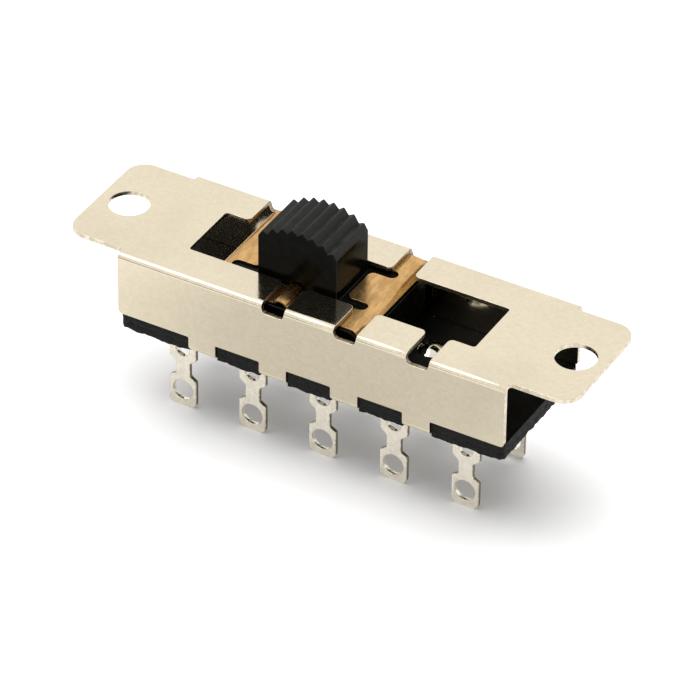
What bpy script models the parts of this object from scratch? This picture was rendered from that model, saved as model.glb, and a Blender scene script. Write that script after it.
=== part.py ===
"""Open-frame slide switch: two rows of five solder terminals and a slider with four positions.

A folded steel frame carries a laminate board on crimped tabs. The board holds the contact rivets with
their terminals. A moulded slider runs inside the frame under a bronze spring plate, whose two beads drop
into notches in the frame's top, and it carries two spring-loaded bridges that join neighbouring contacts.

X runs along the travel, -Y is the front row, +Z is up. The terminals' ends stand on Z = 0, and X = Y = 0 is
the middle of the frame. The slider is at its second position from the left.
"""

from math import acos, asin, atan2, ceil, cos, pi, radians, sin, sqrt, tan

import bmesh
import bpy
from mathutils import Matrix, Vector

MM = 0.001

# Contact grid
PITCH = 6.35 * MM
CONTACTS = 5
ROW_OFFSET = 2.0 * MM
POSITIONS = CONTACTS - 1
REST_POSITION = 1

# Clearances
SEAT_GAP = 0.02 * MM
SLIDE_GAP = 0.05 * MM
RIVET_GAP = 0.05 * MM
PLATE_BACK_GAP = 0.09 * MM  # where the wall guides the spring plate
PLATE_FRONT_GAP = 0.75 * MM
BODY_SIDE_GAP = 0.6 * MM

# Frame
TOP = 14.6 * MM
SHEET = 0.4 * MM
CHANNEL_LENGTH = 34.27 * MM
CHANNEL_WIDTH = 12.5 * MM
WALL_DEPTH = 5.68 * MM
WALL_CORNER = 0.35 * MM
FOLD_RADIUS = 0.5 * MM
EAR_WIDTH = 10.9 * MM
EAR_CORNER = 1.65 * MM
MOUNTING_HOLE = 3.35 * MM
MOUNTING_SPACING = 39.7 * MM
EAR_END = 2.57 * MM  # from the middle of a mounting hole
WINDOW_LENGTH = 25.32 * MM
WINDOW_WIDTH = 5.68 * MM
WINDOW_CORNER = 0.25 * MM
NOTCH_WIDTH = 2.0 * MM
NOTCH_FOOT_WIDTH = 1.7 * MM
NOTCH_DEPTH = 0.9 * MM
NOTCH_FOOT_CORNER = 0.3 * MM
NOTCH_MOUTH_CORNER = 0.45 * MM
TAB_WIDTH = 2.42 * MM
TAB_REACH = 7.02 * MM
TAB_FILLET = 0.3 * MM
TAB_CRIMP = 0.3 * MM  # how far the tip is bent in, and over what height

# Board
BOARD_LENGTH = 34.1 * MM
BOARD_WIDTH = 12.2 * MM
BOARD_THICKNESS = 1.57 * MM
BOARD_CORNER = 0.5 * MM
TAB_SIDE_GAP = 0.3 * MM

# Contact rivets
HEAD_RADIUS = 1.1 * MM
HEAD_HEIGHT = 0.38 * MM
SHANK_RADIUS = 0.65 * MM
TAIL_RADIUS = 0.95 * MM
TAIL_HEIGHT = 0.34 * MM
TAIL_BORE_RADIUS = 0.38 * MM
TAIL_BORE_DEPTH = 0.9 * MM

# Terminals
TERMINAL_SHEET = 0.4 * MM
TERMINAL_FOLD = 0.35 * MM
BLADE_OFFSET = 1.9 * MM
LEG_OVERHANG = 1.15 * MM
LEG_CORNER = 0.9 * MM
BLADE_WIDTH = 2.42 * MM
NECK_WIDTH = 1.28 * MM
HEAD_LENGTH = 2.6 * MM
HEAD_SLOPE = 0.35 * MM
HEAD_CORNER = 0.5 * MM
SHOULDER_CORNER = 0.25 * MM
NECK_CORNER = 0.18 * MM
NECK_LENGTH = 1.25 * MM
SHOULDER_SLOPE = 0.45 * MM
WIRE_HOLE_WIDTH = 1.76 * MM
WIRE_HOLE_HEIGHT = 1.84 * MM
WIRE_HOLE_LEVEL = 1.5 * MM
FOLD_HOLE_RADIUS = 0.6 * MM
FOLD_HOLE_LEVEL = 5.45 * MM

# Spring plate
PLATE_THICKNESS = 0.2 * MM
PLATE_LENGTH = 14.2 * MM
LIP_FOLD = 0.8 * MM
LIP_DEPTH = 1.05 * MM
SLOT_REACH = 6.0 * MM
SLOT_INNER = 1.9 * MM
SLOT_WIDTH = 1.0 * MM
TONGUE_GAP = 0.4 * MM
TONGUE_CORNER = 0.5 * MM
BEAD_RADIUS = 0.74 * MM
BEAD_HEIGHT = 0.4 * MM

# Slider
BODY_DEPTH = 4.9 * MM
BODY_CORNER = 0.3 * MM
KNOB_LENGTH = 7.0 * MM
KNOB_WIDTH = 4.9 * MM
KNOB_SHOULDER = 3.2 * MM
KNOB_CROWN = 4.76 * MM
KNOB_CROWN_RADIUS = 5.42 * MM
KNOB_CORNER = 0.12 * MM
RIB_COUNT = 8
RIB_PITCH = 0.893 * MM
RIB_DEPTH = 0.38 * MM
RIB_RADIUS = 0.16 * MM

# Bridges and their springs
BRIDGE_SHEET = 0.3 * MM
BRIDGE_WIDTH = 2.2 * MM
BRIDGE_FOOT_DROP = 0.45 * MM
BRIDGE_FOOT_LENGTH = 1.2 * MM
BRIDGE_END = 0.575 * MM  # from the slope beyond a foot to the turned-up end
BRIDGE_LIP = 0.7 * MM
BRIDGE_FOLD = 0.3 * MM
POCKET_GAP = 0.15 * MM
POCKET_DEPTH = 1.3 * MM
COIL_DIAMETER = 2.0 * MM
COIL_WIRE = 0.28 * MM
COIL_TURNS = 5
COIL_BORE_DEPTH = 3.0 * MM
COIL_STEPS = 12

# Resolution: points closer than WELD are one, ARC_ERROR is how far an arc's chords may cut inside it, and
# ROUND_STEPS are the sides of a rivet
WELD = 0.002 * MM
ARC_ERROR = 0.012 * MM
ROUND_STEPS = 12
# 2D curves drop details under 0.03 mm, so an outline is filled at this many times its size.
FILL_SCALE = 1000.0
# How far a cutter stands out past the face that it cuts.
OVERCUT = 1.0 * MM

# Lengths that follow from the sizes
FRAME_LENGTH = MOUNTING_SPACING + 2 * EAR_END
BRIDGE_LENGTH = PITCH + BRIDGE_FOOT_LENGTH + 2 * (BRIDGE_FOOT_DROP + BRIDGE_END)
CHANNEL_INSIDE = CHANNEL_WIDTH / 2 - SHEET
PLATE_WIDTH = 2 * CHANNEL_INSIDE - PLATE_BACK_GAP - PLATE_FRONT_GAP
PLATE_SHIFT = (PLATE_FRONT_GAP - PLATE_BACK_GAP) / 2  # towards the back row
BODY_WIDTH = 2 * (CHANNEL_INSIDE - BODY_SIDE_GAP)

# Heights and places that follow from the sizes
WALL_FOOT = TOP - WALL_DEPTH
BOARD_TOP = WALL_FOOT - SEAT_GAP
BOARD_FOOT = BOARD_TOP - BOARD_THICKNESS
TAB_TIP = TOP - TAB_REACH
HEAD_TOP = BOARD_TOP + SEAT_GAP + HEAD_HEIGHT
LEG_TOP = BOARD_FOOT - SEAT_GAP
LEG_FOOT = LEG_TOP - TERMINAL_SHEET
PLATE_TOP = TOP - SHEET - SLIDE_GAP
PLATE_FOOT = PLATE_TOP - PLATE_THICKNESS
SLOT_OUTER = SLOT_INNER + SLOT_WIDTH
BODY_TOP = PLATE_FOOT - SEAT_GAP
BODY_FOOT = TOP - BODY_DEPTH
BRIDGE_FOOT = HEAD_TOP + SEAT_GAP
BRIDGE_TOP = BRIDGE_FOOT + BRIDGE_FOOT_DROP + BRIDGE_SHEET
COIL_SEAT = BODY_FOOT + COIL_BORE_DEPTH
DETENTS = [(index - (POSITIONS - 1) / 2) * PITCH for index in range(POSITIONS)]
CONTACT_PLACES = [(index - (CONTACTS - 1) / 2) * PITCH for index in range(CONTACTS)]
SLIDER_PLACE = DETENTS[REST_POSITION]

# Drawing planes: each takes an outline's (u, v) and its depth to X, Y and Z.
PLAN = Matrix(((1, 0, 0), (0, 1, 0), (0, 0, 1))).to_4x4()
FRONT = Matrix(((1, 0, 0), (0, 0, 1), (0, 1, 0))).to_4x4()
SECTION = Matrix(((0, 0, 1), (1, 0, 0), (0, 1, 0))).to_4x4()


# ---------------------------------------------------------------- scene


def clear_scene():
    """Remove every object of the startup scene."""
    for obj in list(bpy.data.objects):
        bpy.data.objects.remove(obj, do_unlink=True)


def new_collection(name):
    """Add an empty collection to the scene."""
    collection = bpy.data.collections.new(name)
    bpy.context.scene.collection.children.link(collection)
    return collection


def add_object(name, data, collection):
    """Put mesh or curve data in the scene."""
    obj = bpy.data.objects.new(name, data)
    collection.objects.link(obj)
    return obj


def make_cutter(obj):
    """Mark an object as a tool that shapes others."""
    obj.hide_render = True
    obj.display_type = "WIRE"
    return obj


def material(name, color, roughness, metallic):
    """Principled material with a plain colour, made once for all the pieces that share it."""
    if name in bpy.data.materials:
        return bpy.data.materials[name]
    made = bpy.data.materials.new(name)
    made.diffuse_color = (*color, 1.0)
    made.use_nodes = True
    shader = made.node_tree.nodes["Principled BSDF"]
    shader.inputs["Base Color"].default_value = (*color, 1.0)
    shader.inputs["Roughness"].default_value = roughness
    shader.inputs["Metallic"].default_value = metallic
    return made


def nickel_plate():
    """Bright warm nickel on the folded steel."""
    return material("nickel_plate", (0.80, 0.76, 0.68), 0.32, 1.0)


def black_laminate():
    """Paper-based laminate with a dull surface."""
    return material("black_laminate", (0.020, 0.021, 0.022), 0.7, 0.0)


def black_nylon():
    """Moulded black plastic with a satin surface."""
    return material("black_nylon", (0.015, 0.016, 0.015), 0.35, 0.0)


def phosphor_bronze():
    """Cold-rolled spring bronze."""
    return material("phosphor_bronze", (0.72, 0.43, 0.20), 0.3, 1.0)


def silver_plate():
    """Silver on the brass contacts and terminals."""
    return material("silver_plate", (0.86, 0.84, 0.78), 0.28, 1.0)


def spring_wire():
    """Drawn steel wire."""
    return material("spring_wire", (0.55, 0.55, 0.54), 0.3, 1.0)


# ---------------------------------------------------------------- outlines


def arc_steps(turn, radius):
    """Chords that an arc needs to stay within ARC_ERROR of its circle."""
    return ceil(turn / (2 * acos(1 - ARC_ERROR / radius)))


def arc_points(before, here, after, radius):
    """Points that round the corner at `here` between its two neighbours."""
    to_before = (before - here).normalized()
    to_after = (after - here).normalized()
    half_angle = to_before.angle(to_after) / 2
    centre = here + (to_before + to_after).normalized() * radius / sin(half_angle)
    start = here + to_before * radius / tan(half_angle) - centre
    end = here + to_after * radius / tan(half_angle) - centre
    turn = atan2(start.x * end.y - start.y * end.x, start.dot(end))
    steps = arc_steps(abs(turn), radius)
    return [centre + Matrix.Rotation(turn * step / steps, 2) @ start for step in range(steps + 1)]


def rounded(corners, closed=True):
    """Line through (u, v) or (u, v, radius) corners, with an arc at each corner that has a radius."""
    points = []
    places = [Vector(corner[:2]) for corner in corners]
    for index, corner in enumerate(corners):
        inner = closed or 0 < index < len(corners) - 1
        if len(corner) == 3 and corner[2] and inner:
            after = places[(index + 1) % len(places)]
            points += arc_points(places[index - 1], places[index], after, corner[2])
        else:
            points.append(places[index])
    return without_repeats(points)


def without_repeats(points):
    """The same line without points that fall on the one before."""
    kept = points[:1]
    for point in points[1:]:
        if (point - kept[-1]).length > WELD:
            kept.append(point)
    if (kept[0] - kept[-1]).length < WELD:
        kept.pop()
    return kept


def rounded_box(left, right, low, high, radius=0):
    """Rectangle with equal round corners, or with sharp ones."""
    return rounded([(left, low, radius), (right, low, radius), (right, high, radius), (left, high, radius)])


def oval(u, v, width, height):
    """Ellipse about (u, v)."""
    steps = arc_steps(2 * pi, width / 2)
    angles = [2 * pi * step / steps for step in range(steps)]
    return [Vector((u + width / 2 * cos(angle), v + height / 2 * sin(angle))) for angle in angles]


def mirror_image(corners):
    """Corners on the other side of the middle, in the opposite order."""
    return [(-corner[0], *corner[1:]) for corner in reversed(corners)]


# ---------------------------------------------------------------- solids


def recalculated(mesh):
    """Weld a mesh's loose caps and turn its faces outwards."""
    work = bmesh.new()
    work.from_mesh(mesh)
    bmesh.ops.remove_doubles(work, verts=work.verts, dist=WELD)
    bmesh.ops.recalc_face_normals(work, faces=work.faces)
    work.to_mesh(mesh)
    work.free()
    return mesh


def baked_mesh(obj):
    """Mesh of an object as its modifiers or its curve settings leave it."""
    bpy.context.view_layer.update()
    graph = bpy.context.evaluated_depsgraph_get()
    return bpy.data.meshes.new_from_object(obj.evaluated_get(graph))


def prism(name, outlines, plane, low, high, collection):
    """Solid that fills the outlines and reaches from low to high across their plane."""
    curve = bpy.data.curves.new(name, "CURVE")
    curve.dimensions = "2D"
    curve.fill_mode = "BOTH"
    curve.extrude = (high - low) / 2 * FILL_SCALE
    for outline in outlines:
        spline = curve.splines.new("POLY")
        spline.points.add(len(outline) - 1)
        for point, place in zip(spline.points, outline):
            point.co = (*(place * FILL_SCALE), 0, 1)
        spline.use_cyclic_u = True
    drawing = add_object(name, curve, collection)
    mesh = baked_mesh(drawing)
    bpy.data.objects.remove(drawing)
    bpy.data.curves.remove(curve)
    middle = Matrix.Translation((0, 0, (low + high) / 2))
    mesh.transform(plane @ middle @ Matrix.Scale(1 / FILL_SCALE, 4))
    return add_object(name, recalculated(mesh), collection)


def folded_strip(name, path, plane, low, high, thickness, collection):
    """Sheet-metal strip whose middle surface follows a path and reaches from low to high across it."""
    mesh = bpy.data.meshes.new(name)
    work = bmesh.new()
    near = [work.verts.new((*place, low)) for place in path]
    edges = [work.edges.new(pair) for pair in zip(near, near[1:])]
    swept = bmesh.ops.extrude_edge_only(work, edges=edges)["geom"]
    far = [item for item in swept if isinstance(item, bmesh.types.BMVert)]
    bmesh.ops.translate(work, verts=far, vec=(0, 0, high - low))
    bmesh.ops.transform(work, matrix=plane, verts=work.verts)
    work.to_mesh(mesh)
    work.free()
    strip = add_object(name, mesh, collection)
    solidify = strip.modifiers.new("sheet", "SOLIDIFY")
    solidify.thickness = thickness
    solidify.offset = 0
    solidify.use_even_offset = True
    return strip


def turned(name, profile, steps, collection):
    """Body of revolution about Z from an (r, z) profile that runs top to bottom."""
    mesh = bpy.data.meshes.new(name)
    work = bmesh.new()
    points = [work.verts.new((radius, 0, level)) for radius, level in profile]
    for pair in zip(points, points[1:]):
        work.edges.new(pair)
    work.to_mesh(mesh)
    work.free()
    body = add_object(name, mesh, collection)
    screw = body.modifiers.new("turn", "SCREW")
    screw.steps = steps
    screw.render_steps = steps
    screw.use_merge_vertices = True
    screw.merge_threshold = WELD
    return body


def combine(target, other, operation, name):
    """Add a Boolean modifier."""
    boolean = target.modifiers.new(name, "BOOLEAN")
    boolean.operation = operation
    boolean.object = other
    return target


def cut(target, tool):
    """Take a tool's volume from the target."""
    return combine(target, make_cutter(tool), "DIFFERENCE", tool.name)


def trim(target, tool):
    """Keep what the target and the tool share."""
    return combine(target, make_cutter(tool), "INTERSECT", tool.name)


def add(target, form):
    """Join a form to the target."""
    return combine(target, make_cutter(form), "UNION", form.name)


def dressed(obj, finish, smooth_angle=radians(35)):
    """Give a finished object its material and smooth shading between sharp edges."""
    if obj.type == "MESH":
        obj.data.shade_smooth()
        obj.data.set_sharp_from_angle(angle=smooth_angle)
    obj.data.materials.clear()
    obj.data.materials.append(finish)
    return obj


def attach(obj, carrier):
    """Let an object and the tools that shape it follow an empty."""
    obj.parent = carrier
    for modifier in obj.modifiers:
        if modifier.type == "BOOLEAN":
            attach(modifier.object, carrier)


# ---------------------------------------------------------------- frame


def channel_path():
    """Middle line of the frame's section, from one tab's tip over the top to the other's."""
    wall = CHANNEL_WIDTH / 2 - SHEET / 2
    half_diagonal = SHEET / 2 * sqrt(0.5)
    tip = (CHANNEL_WIDTH / 2 - TAB_CRIMP - half_diagonal, TAB_TIP + half_diagonal)
    crimp = (wall, tip[1] + wall - tip[0])
    fold = (wall, TOP - SHEET / 2, FOLD_RADIUS - SHEET / 2)
    half = [fold, crimp, tip]
    return rounded(mirror_image(half) + half, closed=False)


def wall_silhouette():
    """Side view of the walls with their four tabs."""
    corners = [(-CHANNEL_LENGTH / 2, TOP + OVERCUT), (-CHANNEL_LENGTH / 2, WALL_FOOT, WALL_CORNER)]
    for place in DETENTS:
        left, right = place - TAB_WIDTH / 2, place + TAB_WIDTH / 2
        corners += [(left, WALL_FOOT, TAB_FILLET), (left, TAB_TIP - OVERCUT)]
        corners += [(right, TAB_TIP - OVERCUT), (right, WALL_FOOT, TAB_FILLET)]
    corners += [(CHANNEL_LENGTH / 2, WALL_FOOT, WALL_CORNER), (CHANNEL_LENGTH / 2, TOP + OVERCUT)]
    return rounded(corners)


def notch_places(side):
    """Places of the detent notches on one side: the front row lacks the first, the back row the last."""
    return DETENTS[1:] if side < 0 else DETENTS[:-1]


def window_outline():
    """Window in the top with the mouths of the detent notches."""
    half_length, half_width = WINDOW_LENGTH / 2, WINDOW_WIDTH / 2
    reach = CHANNEL_WIDTH / 2 - 2 * FOLD_RADIUS
    corners = []
    for side in (-1, 1):
        corners.append((side * half_length, side * half_width, WINDOW_CORNER))
        for place in notch_places(side)[::-side]:
            near, far = place + side * NOTCH_WIDTH / 2, place - side * NOTCH_WIDTH / 2
            corners += [(near, side * half_width, NOTCH_MOUTH_CORNER), (near, side * reach)]
            corners += [(far, side * reach), (far, side * half_width, NOTCH_MOUTH_CORNER)]
        corners.append((-side * half_length, side * half_width, WINDOW_CORNER))
    return rounded(corners)


def notch_section(place):
    """Side view of one detent notch where it runs down over the fold."""
    half_top, half_foot = NOTCH_WIDTH / 2, NOTCH_FOOT_WIDTH / 2
    foot = TOP - NOTCH_DEPTH
    half = [(half_top, TOP + OVERCUT), (half_top, TOP - SHEET), (half_foot, foot, NOTCH_FOOT_CORNER)]
    return rounded([(place + across, *rest) for across, *rest in half + mirror_image(half)])


def build_frame(collection, tools):
    """Folded steel frame: channel with crimped tabs, mounting ears, window, notches and holes."""
    reach = CHANNEL_LENGTH / 2 + OVERCUT
    frame = folded_strip("mounting_frame", channel_path(), SECTION, -reach, reach, SHEET, collection)
    trim(frame, prism("wall_silhouette", [wall_silhouette()], FRONT, -CHANNEL_WIDTH, CHANNEL_WIDTH, tools))
    strap = rounded_box(-FRAME_LENGTH / 2, FRAME_LENGTH / 2, -EAR_WIDTH / 2, EAR_WIDTH / 2, EAR_CORNER)
    add(frame, prism("ear_strap", [strap], PLAN, TOP - SHEET, TOP, tools))
    holes = [oval(side * MOUNTING_SPACING / 2, 0, MOUNTING_HOLE, MOUNTING_HOLE) for side in (-1, 1)]
    openings = [window_outline(), *holes]
    cut(frame, prism("top_openings", openings, PLAN, TOP - SHEET - FOLD_RADIUS, TOP + OVERCUT, tools))
    inner = CHANNEL_WIDTH / 2 - 3 * FOLD_RADIUS
    for side, name in ((-1, "front_notches"), (1, "back_notches")):
        depths = sorted((side * inner, side * (CHANNEL_WIDTH / 2 + OVERCUT)))
        sections = [notch_section(place) for place in notch_places(side)]
        cut(frame, prism(name, sections, FRONT, *depths, tools))
    return dressed(frame, nickel_plate())


# ---------------------------------------------------------------- board


def tab_bays(inner):
    """Plan rectangles at the tabs, from a distance off the middle to past the board's edge."""
    half_width = TAB_WIDTH / 2 + TAB_SIDE_GAP
    outer = BOARD_WIDTH / 2 + OVERCUT
    bays = []
    for place in DETENTS:
        for low, high in ((-outer, -inner), (inner, outer)):
            bays.append(rounded_box(place - half_width, place + half_width, low, high))
    return bays


def crimp_wedges():
    """Section of the slopes, at 45 degrees, that the tabs' tips are crimped against."""
    back = CHANNEL_INSIDE - SLIDE_GAP
    bend = TAB_TIP + TAB_CRIMP + SHEET * tan(pi / 8) + SLIDE_GAP * (sqrt(2) - 1)
    drop = bend - BOARD_FOOT
    wedge = [
        (back + OVERCUT, bend + OVERCUT),
        (back - drop - OVERCUT, BOARD_FOOT - OVERCUT),
        (back + OVERCUT, BOARD_FOOT - OVERCUT),
    ]
    return [rounded(wedge), rounded([(-across, level) for across, level in wedge])]


def build_board(collection, tools):
    """Laminate base with tab recesses and a hole for each rivet."""
    half_length, half_width = BOARD_LENGTH / 2, BOARD_WIDTH / 2
    slab = rounded_box(-half_length, half_length, -half_width, half_width, BOARD_CORNER)
    hole = 2 * (SHANK_RADIUS + RIVET_GAP)
    holes = [oval(x, side * ROW_OFFSET, hole, hole) for x in CONTACT_PLACES for side in (-1, 1)]
    board = prism("base_board", [slab], PLAN, BOARD_FOOT, BOARD_TOP, collection)
    low, high = BOARD_FOOT - OVERCUT, BOARD_TOP + OVERCUT
    cut(board, prism("rivet_holes", holes, PLAN, low, high, tools))
    cut(board, prism("tab_recesses", tab_bays(CHANNEL_INSIDE - SLIDE_GAP), PLAN, low, high, tools))
    wedges = prism("crimp_wedges", crimp_wedges(), SECTION, -half_length, half_length, tools)
    trim(wedges, prism("wedge_bays", tab_bays(ROW_OFFSET), PLAN, low - OVERCUT, high, tools))
    cut(board, wedges)
    return dressed(board, black_laminate())


# ---------------------------------------------------------------- contacts


def rivet_profile():
    """Half section of a contact rivet, from its domed head to its spun tail."""
    seat = BOARD_TOP + SEAT_GAP
    tail_top = LEG_FOOT - SEAT_GAP
    tail_foot = tail_top - TAIL_HEIGHT
    dome = [
        (HEAD_RADIUS * sin(angle), seat + HEAD_HEIGHT * (0.3 + 0.7 * cos(angle)))
        for angle in (0, radians(30), radians(60), radians(90))
    ]
    tail = [
        (TAIL_RADIUS, tail_top),
        (TAIL_RADIUS, tail_top - TAIL_HEIGHT / 3),
        (TAIL_BORE_RADIUS + SEAT_GAP, tail_foot),
        (TAIL_BORE_RADIUS, tail_foot + TAIL_BORE_DEPTH),
        (0, tail_foot + TAIL_BORE_DEPTH),
    ]
    return [*dome, (HEAD_RADIUS, seat), (SHANK_RADIUS, seat), (SHANK_RADIUS, tail_top), *tail]


def terminal_path():
    """Middle line of a terminal, from its inner end past the rivet, over the fold and down."""
    middle = LEG_TOP - TERMINAL_SHEET / 2
    blade = -(BLADE_OFFSET - TERMINAL_SHEET / 2)
    corners = [(LEG_OVERHANG + OVERCUT, middle), (blade, middle, TERMINAL_FOLD), (blade, -OVERCUT)]
    return rounded(corners, closed=False)


def blade_silhouette():
    """Front view of a terminal: shoulders, neck and soldering head."""
    edge, neck = BLADE_WIDTH / 2, NECK_WIDTH / 2
    neck_top = HEAD_LENGTH + HEAD_SLOPE + NECK_LENGTH
    half = [
        (edge, LEG_TOP + OVERCUT),
        (edge, neck_top + SHOULDER_SLOPE, SHOULDER_CORNER),
        (neck, neck_top, NECK_CORNER),
        (neck, HEAD_LENGTH + HEAD_SLOPE, NECK_CORNER),
        (edge, HEAD_LENGTH, NECK_CORNER),
        (edge, 0, HEAD_CORNER),
    ]
    return rounded(half + mirror_image(half))


def terminal_mesh(collection, tools):
    """One terminal about its rivet's axis, as it stands in the front row."""
    sides = (-BLADE_WIDTH, BLADE_WIDTH)
    blade = folded_strip("terminal", terminal_path(), SECTION, *sides, TERMINAL_SHEET, collection)
    depths = (-2 * BLADE_OFFSET, 2 * BLADE_OFFSET)
    trim(blade, prism("blade_silhouette", [blade_silhouette()], FRONT, *depths, tools))
    half = BLADE_WIDTH / 2
    corners = [(half, depths[0]), (half, LEG_OVERHANG, LEG_CORNER)]
    outline = rounded(corners + mirror_image(corners))
    trim(blade, prism("leg_outline", [outline], PLAN, -2 * OVERCUT, BOARD_TOP, tools))
    wire_hole = oval(0, WIRE_HOLE_LEVEL, WIRE_HOLE_WIDTH, WIRE_HOLE_HEIGHT)
    fold_hole = oval(0, FOLD_HOLE_LEVEL, 2 * FOLD_HOLE_RADIUS, 2 * FOLD_HOLE_RADIUS)
    cut(blade, prism("blade_holes", [wire_hole, fold_hole], FRONT, *depths, tools))
    rivet_hole = oval(0, 0, 2 * (SHANK_RADIUS + RIVET_GAP), 2 * (SHANK_RADIUS + RIVET_GAP))
    cut(blade, prism("leg_hole", [rivet_hole], PLAN, LEG_FOOT - OVERCUT, BOARD_TOP, tools))
    mesh = recalculated(baked_mesh(blade))
    mesh.name = "terminal"
    bpy.data.objects.remove(blade)
    return mesh


def rivet_mesh(collection):
    """One contact rivet about its own axis."""
    rivet = turned("contact_rivet", rivet_profile(), ROUND_STEPS, collection)
    mesh = recalculated(baked_mesh(rivet))
    mesh.name = "contact_rivet"
    bpy.data.objects.remove(rivet)
    return mesh


def build_contacts(collection, tools):
    """Both rows of terminals, each held by its rivet."""
    silver = silver_plate()
    meshes = {"terminal": terminal_mesh(collection, tools), "contact_rivet": rivet_mesh(collection)}
    for row, side, turn in (("front", -1, 0), ("back", 1, pi)):
        for number, place in enumerate(CONTACT_PLACES, start=1):
            for kind, mesh in meshes.items():
                piece = add_object(f"{kind}_{row}_{number}", mesh, collection)
                piece.location = (place, side * ROW_OFFSET, 0)
                piece.rotation_euler.z = turn
                dressed(piece, silver)


# ---------------------------------------------------------------- spring plate


def plate_path():
    """Middle line of the spring plate with its turned-down ends."""
    end = PLATE_LENGTH / 2 - PLATE_THICKNESS / 2
    half = [(end, PLATE_TOP - PLATE_THICKNESS / 2, LIP_FOLD), (end, PLATE_TOP - LIP_DEPTH)]
    return rounded(mirror_image(half) + half, closed=False)


def plate_opening():
    """Opening round the knob with the four slots that free the side strips."""
    tongue = KNOB_LENGTH / 2 + TONGUE_GAP
    slot_end = SLOT_WIDTH / 2
    quarter = [
        (tongue, SLOT_INNER, TONGUE_CORNER),
        (SLOT_REACH, SLOT_INNER, slot_end),
        (SLOT_REACH, SLOT_OUTER, slot_end),
    ]
    lower = [(across, -along, radius) for across, along, radius in reversed(quarter)]
    half = lower + quarter
    return rounded(half + mirror_image(half))


def arch(radius, centre, foot):
    """Part of a circle that stands above a level, with its chord."""
    half_angle = acos((foot - centre) / radius)
    steps = arc_steps(2 * half_angle, radius)
    angles = [half_angle * (1 - 2 * step / steps) for step in range(steps + 1)]
    return [Vector((radius * sin(angle), centre + radius * cos(angle))) for angle in angles]


def build_spring_plate(collection, tools):
    """Bronze plate that rides on the slider, with a bead pressed across the middle of each side strip."""
    reach = PLATE_WIDTH / 2 + OVERCUT
    plate = folded_strip("detent_spring", plate_path(), FRONT, -reach, reach, PLATE_THICKNESS, collection)
    axis = PLATE_TOP + BEAD_HEIGHT - BEAD_RADIUS
    raised = arch(BEAD_RADIUS, axis, PLATE_TOP - PLATE_THICKNESS / 2)
    add(plate, prism("beads", [raised], FRONT, -reach, reach, tools))
    bore = 2 * (BEAD_RADIUS - PLATE_THICKNESS)
    cut(plate, prism("bead_hollows", [oval(0, axis, bore, bore)], FRONT, -2 * reach, 2 * reach, tools))
    low, high = BODY_FOOT, TOP + OVERCUT
    sides = rounded_box(-PLATE_LENGTH, PLATE_LENGTH, -PLATE_WIDTH / 2, PLATE_WIDTH / 2)
    trim(plate, prism("plate_sides", [sides], PLAN, low, high, tools))
    cut(plate, prism("plate_opening", [plate_opening()], PLAN, low, high, tools))
    seat = add_object("spring_plate_seat", None, collection)
    seat.location.y = PLATE_SHIFT
    attach(dressed(plate, phosphor_bronze()), seat)
    return seat


# ---------------------------------------------------------------- slider


def body_outline():
    """Side view of the slider's body, stepped at the ends for the plate's lips."""
    end = PLATE_LENGTH / 2
    lip_end = end - PLATE_THICKNESS - SLIDE_GAP
    step = PLATE_TOP - LIP_DEPTH - SLIDE_GAP
    half = [(lip_end, BODY_TOP, LIP_FOLD), (lip_end, step), (end, step), (end, BODY_FOOT, BODY_CORNER)]
    return rounded(half + mirror_image(half))


def knob_outline():
    """Side view of the knob: rounded ribs along an arched crown."""
    centre = TOP + KNOB_CROWN - KNOB_CROWN_RADIUS
    crest = KNOB_CROWN_RADIUS + RIB_RADIUS * (sqrt(2) - 1)
    valley = KNOB_CROWN_RADIUS - RIB_DEPTH
    ribs = []
    for index in range(RIB_COUNT):
        place = ((RIB_COUNT - 1) / 2 - index) * RIB_PITCH
        lean = asin(place / KNOB_CROWN_RADIUS)
        ribs.append((crest * sin(lean), centre + crest * cos(lean), RIB_RADIUS))
        dip = asin((place - RIB_PITCH / 2) / valley)
        ribs.append((valley * sin(dip), centre + valley * cos(dip), RIB_RADIUS / 4))
    shoulder = TOP + KNOB_SHOULDER
    root = BODY_TOP - OVERCUT
    right = [(KNOB_LENGTH / 2, root), (KNOB_LENGTH / 2, shoulder)]
    return rounded(right + ribs[:-1] + mirror_image(right))


def build_slider(collection, tools):
    """Moulded slider: body with pockets for the bridges and their springs, and a ribbed knob."""
    half_width = BODY_WIDTH / 2
    slider = prism("slider", [body_outline()], FRONT, -half_width, half_width, collection)
    knob = prism("knob", [knob_outline()], FRONT, -KNOB_WIDTH, KNOB_WIDTH, tools)
    sides = rounded_box(-KNOB_LENGTH / 2, KNOB_LENGTH / 2, -KNOB_WIDTH / 2, KNOB_WIDTH / 2, KNOB_CORNER)
    trim(knob, prism("knob_sides", [sides], PLAN, BODY_FOOT, TOP + KNOB_CROWN + OVERCUT, tools))
    add(slider, knob)
    pocket_length = BRIDGE_LENGTH / 2 + POCKET_GAP
    pocket_width = BRIDGE_WIDTH / 2 + POCKET_GAP
    bore = COIL_DIAMETER + 2 * POCKET_GAP
    pockets, bores = [], []
    for side in (-1, 1):
        low, high = side * ROW_OFFSET - pocket_width, side * ROW_OFFSET + pocket_width
        pockets.append(rounded_box(-pocket_length, pocket_length, low, high, BODY_CORNER))
        bores.append(oval(0, side * ROW_OFFSET, bore, bore))
    foot = BODY_FOOT - OVERCUT
    cut(slider, prism("bridge_pockets", pockets, PLAN, foot, BODY_FOOT + POCKET_DEPTH, tools))
    cut(slider, prism("coil_bores", bores, PLAN, foot, COIL_SEAT, tools))
    return dressed(slider, black_nylon())


# ---------------------------------------------------------------- bridges


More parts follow.
